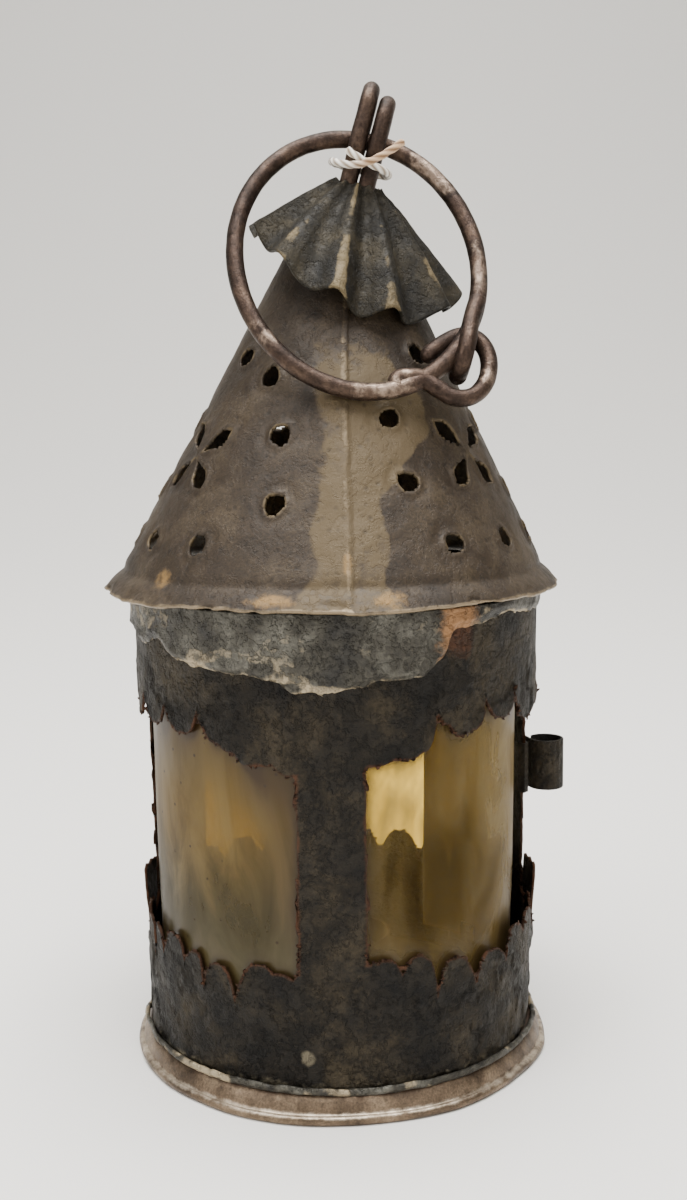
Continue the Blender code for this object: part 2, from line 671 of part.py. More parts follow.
def ring_path():
    """Centre line of the ring: a small closing loop, the plain curve, and a hook through the loop."""
    loop = [(0.0215, 0.0018, -0.0452), (0.0243, 0.0018, -0.0409), (0.0275, 0.0018, -0.0379),
            (0.0307, 0.0016, -0.0376), (0.0333, 0.0012, -0.0399), (0.0346, 0.0008, -0.0438),
            (0.0343, 0.0004, -0.0480), (0.0323, 0.0001, -0.0513), (0.0288, 0.0000, -0.0525),
            (0.0250, 0.0000, -0.0513), (0.0213, 0.0000, -0.0502), (0.0176, 0.0000, -0.0516)]
    steps = 34
    plain = [ring_point(RING_START - k * (RING_START + 360.0 - RING_END) / steps) for k in range(steps + 1)]
    hook = [(0.0289, -0.0012, -0.0355), (0.0290, -0.0022, -0.0398), (0.0291, -0.0018, -0.0438),
            (0.0291, 0.0018, -0.0464), (0.0290, 0.0054, -0.0438), (0.0288, 0.0061, -0.0395),
            (0.0286, 0.0060, -0.0355)]
    return loop + plain + hook


def ring_lean():
    """Angle from hanging straight down at which the ring's wire rests on the front of the roof."""
    tilt = math.radians(FINIAL_TILT)
    hinge = MOUTH_HEIGHT + EYE_HINGE[2] * math.cos(tilt) - EYE_HINGE[0] * math.sin(tilt)
    reach = 2 * RING_HALF_HEIGHT
    clear = (WIRE_RADIUS + SLACK) * math.hypot(1.0, ROOF_SLOPE)
    aside = RING_OFFSET + RING_SKEW * RING_HALF_HEIGHT
    level = roof_radius(hinge - aside * math.sin(tilt)) + clear + EYE_HINGE[1]
    pull = ROOF_SLOPE * math.cos(tilt)
    size = math.hypot(1.0, pull) * reach
    return math.asin(level / size) + math.atan(pull)


def build_ring(finish, hinge):
    """The carrying ring, hung on the eye and leaning on the front of the roof."""
    axis = add_empty("ring_axis", (0.0, 0.0, 0.0), (-ring_lean(), 0.0, 0.0), hinge)
    path = smooth_path(ring_path(), 104)
    rod("carry_ring", path, WIRE_RADIUS, finish, RING_SIDES, axis)


def build_tie(finish, finial):
    """A short cotton string knotted round the eye's legs."""
    curve = bpy.data.curves.new("tag_tie", "CURVE")
    curve.dimensions = "3D"
    path = smooth_path(TIE_ROUTE, 30)
    spline = curve.splines.new("POLY")
    spline.points.add(len(path) - 1)
    for point, place in zip(spline.points, path):
        point.co = (*place, 1.0)
    curve.bevel_depth = TIE_DIAMETER / 2
    curve.bevel_resolution = 2
    curve.use_fill_caps = True
    curve.materials.append(finish)
    made = bpy.data.objects.new("tag_tie", curve)
    made.parent = finial
    bpy.context.scene.collection.objects.link(made)


# ---------------------------------------------------------------- door
def door_radius(height, out=0.0):
    """Radius of the door frame's inside, or a stated distance outside it."""
    return body_radius(height) + DOOR_OFFSET + out


def hinge_place():
    """Plan position of the hinge pin."""
    out = door_radius(DOOR_TOP) + SHEET + GAP + SHEET + PIN_WIRE / 2 + SLACK
    return polar(out, HINGE_AZIMUTH, 0.0)


def build_door_frame(finish, axis):
    """Bent sheet with a window: two stiles and two rails."""
    width = math.degrees(DOOR_STILE / BODY_RADIUS)
    inner = 36
    between = (DOOR_HINGE_EDGE - DOOR_EDGE - 2 * width) / inner
    azimuths = [DOOR_EDGE + width * k / 3 for k in range(3)]
    azimuths += [DOOR_EDGE + width + between * k for k in range(inner + 1)]
    azimuths += [DOOR_HINGE_EDGE - width + width * k / 3 for k in range(1, 4)]
    heights = (DOOR_BOTTOM, DOOR_BOTTOM + DOOR_RAIL, DOOR_TOP - DOOR_RAIL, DOOR_TOP)
    pin = hinge_place()
    outer = [[polar(door_radius(z, SHEET), a, z) - pin for z in heights] for a in azimuths]
    inside = [[polar(door_radius(z), a, z) - pin for z in heights] for a in azimuths]

    def filled(i, j):
        return j != 1 or i < 3 or i >= 3 + inner

    slab("door_frame", outer, inside, filled, finish, parent=axis)


def build_door_pane(finish, axis):
    """Thin clear leaf of horn behind the door frame."""
    def radius(azimuth, height):
        return door_radius(height) - SLACK

    inset = math.degrees(DOOR_STILE / BODY_RADIUS) / 2
    build_pane("door_pane", DOOR_EDGE + inset, DOOR_HINGE_EDGE - inset, finish, DOOR_BOTTOM + DOOR_RAIL / 3,
               DOOR_TOP - DOOR_RAIL / 3, radius, 40, axis, hinge_place())


def build_hinges(door_finish, post_finish, pin_finish, axis):
    """Straps rolled round a wire pin: two on the door, two on the post, one long pin."""
    pin = hinge_place()
    centre = Vector((pin.x, pin.y))
    roll = PIN_WIRE / 2 + SLACK + SHEET / 2
    out = centre.normalized()
    for k, share in enumerate(HINGE_HEIGHTS):
        middle = DOOR_BOTTOM + (DOOR_TOP - DOOR_BOTTOM) * share
        word = ("lower", "upper")[k]
        post = [Vector(polar(body_radius(middle) + SLACK + SHEET, a, 0.0)[:2])
                for a in (HINGE_AZIMUTH + 10.0, HINGE_AZIMUTH + 8.0, HINGE_AZIMUTH + 6.0)]
        line = post + strap_roll(centre, roll, post[-1], -1.0)
        strip("post_hinge_" + word, line, SHEET, middle - KNUCKLE_LENGTH, middle - GAP, post_finish)
        leaf = [Vector(polar(door_radius(DOOR_TOP, SHEET + GAP + SHEET / 2), a, 0.0)[:2])
                for a in (HINGE_AZIMUTH - 14.0, HINGE_AZIMUTH - 9.5, HINGE_AZIMUTH - 5.0)]
        line = leaf + strap_roll(centre, roll, leaf[-1], 1.0)
        upper = middle + KNUCKLE_LENGTH
        strip("door_hinge_" + word, line, SHEET, middle + GAP, upper, door_finish, axis, pin)
    low = DOOR_BOTTOM + (DOOR_TOP - DOOR_BOTTOM) * HINGE_HEIGHTS[0] - 2 * KNUCKLE_LENGTH
    high = DOOR_BOTTOM + (DOOR_TOP - DOOR_BOTTOM) * HINGE_HEIGHTS[1] + 2 * KNUCKLE_LENGTH
    path = [(pin.x, pin.y, low), (pin.x, pin.y, (low + high) / 2), (pin.x, pin.y, high),
            (pin.x + out.x * PIN_WIRE, pin.y + out.y * PIN_WIRE, high + PIN_WIRE),
            (pin.x + out.x * 3 * PIN_WIRE, pin.y + out.y * 3 * PIN_WIRE, high + PIN_WIRE)]
    rod("hinge_pin", path, PIN_WIRE / 2, pin_finish, 8)


def strap_roll(centre, radius, tail, sense):
    """Roll round the pin that starts on the side facing the tail's end and turns outwards."""
    away = (tail - centre)
    facing = math.degrees(math.atan2(away.y, away.x))
    tangent = math.degrees(math.acos(min(1.0, radius / away.length)))
    start = facing - sense * tangent
    return arc(centre, radius, start, start - sense * KNUCKLE_TURN, 12)


def build_pull(finish, axis):
    """Strip soldered on the free stile whose end is rolled into a finger pull."""
    middle = FOOT_HEIGHT + PULL_MIDDLE
    face = door_radius(middle, SHEET + GAP + SHEET / 2)
    turns = (DOOR_EDGE + 8.0, DOOR_EDGE + 4.0, DOOR_EDGE, DOOR_EDGE - 4.0)
    tail = [Vector(polar(face, turn, 0.0)[:2]) for turn in turns]
    centre = Vector(polar(face + PULL_ROLL, PULL_AZIMUTH, 0.0)[:2])
    inward = math.degrees(math.atan2(-centre.y, -centre.x))
    roll = arc(centre, PULL_ROLL, inward, inward + PULL_TURN, 16)
    strip("door_pull", tail + roll, SHEET, middle - PULL_HEIGHT / 2, middle + PULL_HEIGHT / 2, finish, axis,
          hinge_place())


def build_keeper(finish):
    """Strip folded round the near edge of the right rear post, which the pull closes against."""
    middle = FOOT_HEIGHT + PULL_MIDDLE
    edge = REAR_POST - REAR_POST_HALF
    outside = body_radius(middle) + GAP + SHEET / 2
    inside = body_radius(middle) - SHEET - GAP - SHEET / 2
    turn = math.degrees(GAP + SHEET) / BODY_RADIUS
    reach = math.degrees(KEEPER_REACH / BODY_RADIUS)
    places = [(outside, edge + reach * 2), (outside, edge + reach), (outside, edge),
              ((outside + inside) / 2, edge - turn), (inside, edge), (inside, edge + reach)]
    line = [Vector(polar(r, a, 0.0)[:2]) for r, a in places]
    strip("door_keeper", line, SHEET, middle - PULL_HEIGHT / 2, middle + PULL_HEIGHT / 2, finish)


# ---------------------------------------------------------------- whole lantern
def build_lantern():
    """Build every piece of the lantern in its closed, resting state."""
    clear_scene()
    iron = material("blackened_sheet_iron", (0.055, 0.049, 0.043), 0.72, 0.55)
    roof_iron = material("weathered_roof_sheet", (0.120, 0.104, 0.086), 0.62, 0.60)
    foot_tin = material("worn_tinplate", (0.260, 0.225, 0.195), 0.48, 0.75)
    wire_iron = material("forged_wire", (0.110, 0.082, 0.062), 0.38, 0.85)
    solder = material("dull_solder", (0.270, 0.275, 0.280), 0.50, 0.70)
    horn = material("cloudy_horn", (0.420, 0.340, 0.170), 0.35, 0.0)
    cotton = material("cotton_string", (0.760, 0.700, 0.590), 0.90, 0.0)

    build_base(foot_tin)
    build_base_solder(solder)
    build_candle_holder(foot_tin, foot_tin)
    build_body(iron)
    build_collar(solder)
    build_front_panes(horn, horn)
    build_clips(iron)
    build_roof(roof_iron)

    mouth = (roof_shift(MOUTH_HEIGHT), 0.0, MOUTH_HEIGHT)
    finial = add_empty("finial", mouth, (0.0, math.radians(FINIAL_TILT), 0.0))
    hinge = add_empty("eye_axis", EYE_HINGE, parent=finial)
    build_cap(roof_iron, finial)
    build_eye(wire_iron, hinge)
    build_ring(wire_iron, hinge)
    build_tie(cotton, finial)

    door = add_empty("door_axis", hinge_place())
    build_door_frame(iron, door)
    build_door_pane(horn, door)
    build_hinges(iron, iron, wire_iron, door)
    build_pull(iron, door)
    build_keeper(iron)


build_lantern()
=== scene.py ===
"""A small sheet-iron candle lantern with horn windows: its fine surfaces, finishes, floor, light and camera.

The model is in metres with +Z up. Azimuths are in degrees round the body, from the front (-Y) towards the
right (+X). Each part of the lantern is a class that holds its sizes and builds and dresses its own pieces.
"""
import logging
import math
from dataclasses import dataclass, field
from enum import Enum
from typing import Callable, Sequence

import bmesh
import bpy
import numpy as np
from mathutils import Euler, Matrix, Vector
from numpy.typing import NDArray


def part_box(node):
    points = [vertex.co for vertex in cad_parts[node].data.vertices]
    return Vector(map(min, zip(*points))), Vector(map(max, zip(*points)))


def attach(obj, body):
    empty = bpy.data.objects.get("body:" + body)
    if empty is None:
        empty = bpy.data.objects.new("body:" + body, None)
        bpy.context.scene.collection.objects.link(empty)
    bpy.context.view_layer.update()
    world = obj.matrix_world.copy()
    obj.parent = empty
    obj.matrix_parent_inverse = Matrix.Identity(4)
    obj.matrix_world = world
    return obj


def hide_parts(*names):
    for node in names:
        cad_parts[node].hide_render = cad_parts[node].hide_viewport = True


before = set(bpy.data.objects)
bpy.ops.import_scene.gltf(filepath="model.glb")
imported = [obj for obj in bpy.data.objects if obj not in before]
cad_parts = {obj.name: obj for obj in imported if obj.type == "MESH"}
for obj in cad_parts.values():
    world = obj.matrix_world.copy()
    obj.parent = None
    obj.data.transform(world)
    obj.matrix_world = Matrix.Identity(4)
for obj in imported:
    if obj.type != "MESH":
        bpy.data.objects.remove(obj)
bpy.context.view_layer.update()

Array = NDArray[np.float64]
Mark = Callable[[Array, Array], Array]
LOG = logging.getLogger("lantern")
MM = 0.001


class Rides(Enum):
    """The three bodies that pieces move with."""

    LANTERN = "lantern"
    RING = "ring"
    DOOR = "door"


# ---------------------------------------------------------------- numbers and noise
def smoothstep(value: Array, low: float, high: float) -> Array:
    """0 below low and 1 above high, with the cubic 3t^2 - 2t^3 between.

    Args:
        value: numbers to map.
        low: where the rise starts.
        high: where the rise ends.

    Returns:
        The mapped numbers, from 0 to 1.
    """
    share = np.clip((value - low) / (high - low), 0.0, 1.0)
    return share * share * (3.0 - 2.0 * share)


def hump(value: Array, middle: float, width: float) -> Array:
    """A Gaussian bell, 1 at its middle and 1/e a width away."""
    return np.exp(-(((value - middle) / width) ** 2))


def eased(points: Sequence[tuple[float, float]], at: Array) -> Array:
    """A line through points that is level at each of them, so that peaks and valleys come out round.

    Args:
        points: pairs of place and value, in order of place.
        at: places to read.

    Returns:
        The value at each place: v0 + (v1 - v0) * smoothstep of the share of the way.
    """
    places, values = np.array(points).T
    k = np.clip(np.searchsorted(places, at) - 1, 0, len(places) - 2)
    share = np.clip((at - places[k]) / (places[k + 1] - places[k]), 0.0, 1.0)
    return values[k] + (values[k + 1] - values[k]) * share * share * (3.0 - 2.0 * share)


def scalloped(points: Sequence[tuple[float, float]], at: Array, hanging: bool) -> Array:
    """The edge of a row of tongues, level across each tip and running ever steeper into each cut.

    From a tip to the next cut the height changes with the cube of the share of the way.

    Args:
        points: (place, height) of tips and cuts in turn.
        at: where the edge is wanted.
        hanging: whether the tongues hang down, so that their tips are the low points.

    Returns:
        Heights of the edge.
    """
    places, heights = np.array(points).T
    k = np.clip(np.searchsorted(places, at) - 1, 0, len(places) - 2)
    share = np.clip((at - places[k]) / (places[k + 1] - places[k]), 0.0, 1.0)
    leaving = (heights[k] < heights[k + 1]) == hanging
    run = np.where(leaving, share, 1.0 - share)
    tip = np.where(leaving, heights[k], heights[k + 1])
    cut = np.where(leaving, heights[k + 1], heights[k])
    return tip + (cut - tip) * run ** 3


def signed(azimuth: Array) -> Array:
    """The same azimuth between -180 and 180."""
    return (azimuth + 180.0) % 360.0 - 180.0


def polar(radius: Array, azimuth: Array, height: Array) -> Array:
    """Points on circles round the Z axis: (r sin a, -r cos a, z)."""
    bearing = np.radians(azimuth)
    return np.stack(np.broadcast_arrays(radius * np.sin(bearing), -radius * np.cos(bearing), height), axis=-1)


@dataclass(frozen=True)
class Grain:
    """Repeatable noise: a random value at each lattice corner, blended smoothly between corners."""

    seed: int

    def corner(self, cells: NDArray[np.int64]) -> Array:
        """A value from -1 to 1 for each lattice corner, mixed from its place by an integer hash.

        Args:
            cells: whole-number lattice corners, with x, y and z in the last axis.

        Returns:
            Values from -1 to 1, one for each corner.
        """
        x, y, z = (cells[..., k].astype(np.uint32) for k in range(3))
        mixed = x * np.uint32(374761393) + y * np.uint32(668265263) + z * np.uint32(2246822519)
        mixed = mixed + np.uint32(self.seed * 3266489917 % 4294967296)
        mixed = (mixed ^ (mixed >> np.uint32(13))) * np.uint32(1274126177)
        return ((mixed ^ (mixed >> np.uint32(16))) / 2147483647.5) - 1.0

    def value(self, points: Array) -> Array:
        """Smooth noise with bumps about one unit apart: corner values blended with the cubic in x, y and z.

        Args:
            points: places in metres, with x, y and z in the last axis.

        Returns:
            One value for each point, within -1 to 1.
        """
        cells = np.floor(points).astype(np.int64)
        share = points - cells
        share = share * share * (3.0 - 2.0 * share)
        total = np.zeros(points.shape[:-1])
        for corner in np.ndindex(2, 2, 2):
            weight = np.where(np.array(corner), share, 1.0 - share).prod(axis=-1)
            total += weight * self.corner(cells + np.array(corner))
        return total

    def layers(self, points: Array, size: float, count: int = 4) -> Array:
        """Noise in layers, each half as large and half as strong as the last.

        Args:
            points: places in metres, with x, y and z in the last axis.
            size: distance between the largest bumps, in metres.
            count: number of layers.

        Returns:
            Values mostly between -1 and 1.
        """
        scaled = points / size
        return sum(self.value(scaled * 2.0 ** k + 19.7 * k) * 0.5 ** k for k in range(count))


# ---------------------------------------------------------------- meshes
def make_piece(name: str, points: Array, faces: NDArray[np.int64], marks: dict[str, Array] | None = None,
               ends: Sequence[Sequence[int]] = ()) -> bpy.types.Object:
    """Put points and faces into a mesh object with smooth shading.

    Args:
        name: the piece's name.
        points: places of the vertices, one row each.
        faces: four vertex numbers for each face.
        marks: numbers for each vertex that the finishes read, by name.
        ends: further faces with any number of corners.

    Returns:
        The linked object.
    """
    mesh = bpy.data.meshes.new(name)
    mesh.from_pydata(points.tolist(), [], faces.tolist() + [list(end) for end in ends])
    for mark, values in (marks or {}).items():
        layer = mesh.attributes.new(mark, "FLOAT", "POINT")
        layer.data.foreach_set("value", np.clip(values, 0.0, 1.0).astype(np.float32).ravel())
    mesh.shade_smooth()
    mesh.update()
    piece = bpy.data.objects.new(name, mesh)
    bpy.context.scene.collection.objects.link(piece)
    return piece


def thicken(piece: bpy.types.Object, thickness: float) -> None:
    """Give a sheet its wall, on the side its faces point away from.

    Args:
        piece: the sheet.
        thickness: in metres.
    """
    wall = piece.modifiers.new("wall", "SOLIDIFY")
    wall.thickness = thickness
    wall.offset = -1.0


@dataclass
class Sheet:
    """A curved sheet over a grid of two parameters, with holes where its distance function is negative.

    Fields:
        across, along: the grid's parameter values in the two directions.
        place: the surface, a point for each pair of parameters.
        solid: distance in metres from the nearest cut edge, positive in the metal.
        marks: functions of the two parameters that give the numbers the finish reads.
        closed: whether the sheet joins up across its first direction.
        thickness: wall, in metres.
    """

    name: str
    across: Array
    along: Array
    place: Callable[[Array, Array], Array]
    solid: Mark | None = None
    marks: dict[str, Mark] = field(default_factory=dict)
    closed: bool = False
    thickness: float = 0.0

    def settle(self, u: Array, v: Array) -> tuple[Array, Array]:
        """Move the grid points nearest a cut onto it.

        Each point less than about half a cell from the edge steps against the distance function's slope by
        its own distance, and three such steps put it on the edge.

        Args:
            u: first parameter of each grid point.
            v: second parameter of each grid point.

        Returns:
            The moved parameters.
        """
        du = abs(self.across[1] - self.across[0])
        dv = abs(self.along[1] - self.along[0])
        nudge = 0.05
        here = self.place(u, v)
        wide = np.linalg.norm(self.place(u + nudge * du, v) - here, axis=-1) / (nudge * du)
        tall = np.linalg.norm(self.place(u, v + nudge * dv) - here, axis=-1) / (nudge * dv)
        reach = 0.6 * np.maximum(wide * du, tall * dv)
        for _ in range(3):
            gap = self.solid(u, v)
            slope_u = (self.solid(u + nudge * du, v) - gap) / (nudge * du) / wide
            slope_v = (self.solid(u, v + nudge * dv) - gap) / (nudge * dv) / tall
            steep = slope_u ** 2 + slope_v ** 2 + 1e-6
            step = np.where(np.abs(gap) < reach * np.sqrt(steep), -gap / steep, 0.0)
            step = np.clip(step, -reach, reach)
            u = u + step * slope_u / wide
            v = np.clip(v + step * slope_v / tall, self.along.min(), self.along.max())
        return u, v

    def build(self) -> bpy.types.Object:
        """Work out the grid, cut it, and return the finished object.

        Returns:
            The finished object.
        """
        u, v = np.meshgrid(self.across, self.along, indexing="ij")
        if self.solid is not None:
            u, v = self.settle(u, v)
        rows, columns = u.shape
        index = np.arange(rows * columns).reshape(rows, columns)
        after = np.roll(index, -1, axis=0) if self.closed else index[1:]
        before = index if self.closed else index[:-1]
        faces = np.stack([before[:, :-1], after[:, :-1], after[:, 1:], before[:, 1:]], axis=-1).reshape(-1, 4)
        u, v = u.ravel(), v.ravel()
        if self.solid is not None:
            inside = self.solid(u, v)
            middle = (inside[faces].mean(axis=1) > 0.0) & (inside[faces].min(axis=1) > -0.06 * MM)
            faces = faces[middle]
        used = np.unique(faces)
        renumber = np.zeros(rows * columns, dtype=np.int64)
        renumber[used] = np.arange(len(used))
        u, v = u[used], v[used]
        marks = {name: mark(u, v) for name, mark in self.marks.items()}
        piece = make_piece(self.name, self.place(u, v), renumber[faces], marks)
        if self.thickness:
            thicken(piece, self.thickness)
        return piece


def tube(name: str, path: Array, radius: Array, upright: Sequence[float], sides: int,
         marks: dict[str, Array] | None = None) -> bpy.types.Object:
    """A round bar carried along a path: path + r (cos t * side + sin t * other) for each section.

    Args:
        name: the piece's name.
        path: centre line, one point a row.
        radius: radius at each path point, or at each path point and each side.
        upright: direction that fixes how the sections are turned; never along the path.
        sides: points round a section.
        marks: numbers for each vertex that the finishes read.

    Returns:
        The finished object, closed at both ends.
    """
    tangent = np.gradient(path, axis=0)
    tangent /= np.linalg.norm(tangent, axis=1, keepdims=True)
    side = np.array(upright, float) - tangent * (tangent @ np.array(upright, float))[:, None]
    side /= np.linalg.norm(side, axis=1, keepdims=True)
    other = np.cross(tangent, side)
    turn = np.linspace(0.0, 2.0 * math.pi, sides, endpoint=False)
    radius = np.broadcast_to(radius if radius.ndim == 2 else radius[:, None], (len(path), sides))
    rings = (np.cos(turn)[None, :, None] * side[:, None] + np.sin(turn)[None, :, None] * other[:, None])
    points = (path[:, None] + radius[..., None] * rings).reshape(-1, 3)
    index = np.arange(len(path) * sides).reshape(len(path), sides)
    beside = np.roll(index, -1, axis=1)
    faces = np.stack([index[:-1], beside[:-1], beside[1:], index[1:]], axis=-1).reshape(-1, 4)
    return make_piece(name, points, faces, marks, ends=(index[0][::-1].tolist(), index[-1].tolist()))


def spline(controls: Array, count: int) -> Array:
    """A Catmull-Rom curve through control points, with evenly many points for each span.

    Args:
        controls: the points to pass through, one a row.
        count: number of steps along the whole curve.

    Returns:
        count + 1 points.
    """
    first = 2 * controls[0] - controls[1]
    last = 2 * controls[-1] - controls[-2]
    padded = np.vstack([first, controls, last])
    spans = len(controls) - 1
    place = np.arange(count + 1) * spans / count
    k = np.minimum(place.astype(int), spans - 1)
    t = (place - k)[:, None]
    p0, p1, p2, p3 = (padded[k + n] for n in range(4))
    bend = (2 * p0 - 5 * p1 + 4 * p2 - p3) * t ** 2 + (3 * p1 - p0 - 3 * p2 + p3) * t ** 3
    return (2 * p1 + (p2 - p0) * t + bend) / 2


def lathe(name: str, profile: Array, columns: int, wobble: Callable[[Array], Array] | None = None,
          marks: dict[str, Callable[[Array], Array]] | None = None) -> bpy.types.Object:
    """Turn a closed outline round the Z axis: each point (r, z) becomes the circle (r sin a, -r cos a, z).

    Args:
        name: the piece's name.
        profile: outline points (radius, height), up the outer side first.
        columns: points round the circle.
        wobble: moves each point by a small offset worked out from its place.
        marks: functions of the points that give the numbers the finish reads.

    Returns:
        The finished object.
    """
    azimuth = np.linspace(0.0, 360.0, columns, endpoint=False)
    points = polar(profile[None, :, 0], azimuth[:, None],
                   np.broadcast_to(profile[:, 1], (columns, len(profile))))
    points = points.reshape(-1, 3)
    if wobble is not None:
        points = points + wobble(points)
    index = np.arange(columns * len(profile)).reshape(columns, len(profile))
    beside = np.roll(index, -1, axis=0)
    faces = np.stack([index, beside, np.roll(beside, -1, axis=1), np.roll(index, -1, axis=1)], axis=-1)
    values = {key: mark(points) for key, mark in (marks or {}).items()}
    return make_piece(name, points, faces.reshape(-1, 4), values)


def placed(points: Array, matrix: Matrix) -> Array:
    """Points moved by a 4 by 4 matrix."""
    turn = np.array(matrix)
    return points @ turn[:3, :3].T + turn[:3, 3]


def worn_copy(node: str, bevel: float) -> bpy.types.Object:
    """A copy of a CAD node with its points merged, its edges rounded and its curved faces shaded smooth.

    Args:
        node: the CAD node.
        bevel: width of the rounding, in metres.

    Returns:
        The new object, named after the node.
    """
    work = bmesh.new()
    work.from_mesh(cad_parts[node].data)
    bmesh.ops.remove_doubles(work, verts=work.verts, dist=0.01 * MM)
    mesh = bpy.data.meshes.new(node + "_worn")
    work.to_mesh(mesh)
    work.free()
    mesh.materials.clear()
    mesh.shade_smooth()
    mesh.set_sharp_from_angle(angle=math.radians(35.0))
    piece = bpy.data.objects.new(node + "_worn", mesh)
    bpy.context.scene.collection.objects.link(piece)
    edge = piece.modifiers.new("worn_edges", "BEVEL")
    edge.width = bevel
    edge.segments = 2
    edge.limit_method = "ANGLE"
    edge.angle_limit = math.radians(50.0)
    return piece


# ---------------------------------------------------------------- finishes
def linear(code: str) -> tuple[float, float, float, float]:
    """A hex sRGB colour as linear red, green, blue and a full alpha."""
    parts = [int(code[k:k + 2], 16) / 255.0 for k in (1, 3, 5)]
    return (*((c / 12.92) if c <= 0.04045 else ((c + 0.055) / 1.055) ** 2.4 for c in parts), 1.0)


def add(tree: bpy.types.NodeTree, kind: str, values: dict | None = None,
        stops: Sequence[tuple[float, str]] = (), **options: object) -> bpy.types.Node:
    """Add a shader node.

    Args:
        tree: the material's node tree.
        kind: the node's type, without its ShaderNode prefix.
        values: what each input gets, by its name or number: a value or another node's output.
        stops: a colour ramp's places and hex colours.
        options: the node's own settings.

    Returns:
        The new node.
    """
    node = tree.nodes.new("ShaderNode" + kind)
    for key, value in options.items():
        setattr(node, key, value)
    for key, value in (values or {}).items():
        if isinstance(value, bpy.types.NodeSocket):
            tree.links.new(value, node.inputs[key])
        else:
            node.inputs[key].default_value = value
    for n, (place, code) in enumerate(stops):
        stop = node.color_ramp.elements[n] if n < 2 else node.color_ramp.elements.new(place)
        stop.position = place
        stop.color = linear(code)
    return node


def new_material(name: str) -> tuple[bpy.types.Material, bpy.types.NodeTree]:
    """An empty node material and its tree.

    Args:
        name: the material's name.

    Returns:
        The material and its node tree.
    """
    made = bpy.data.materials.new(name)
    made.use_nodes = True
    made.node_tree.nodes.clear()
    return made, made.node_tree


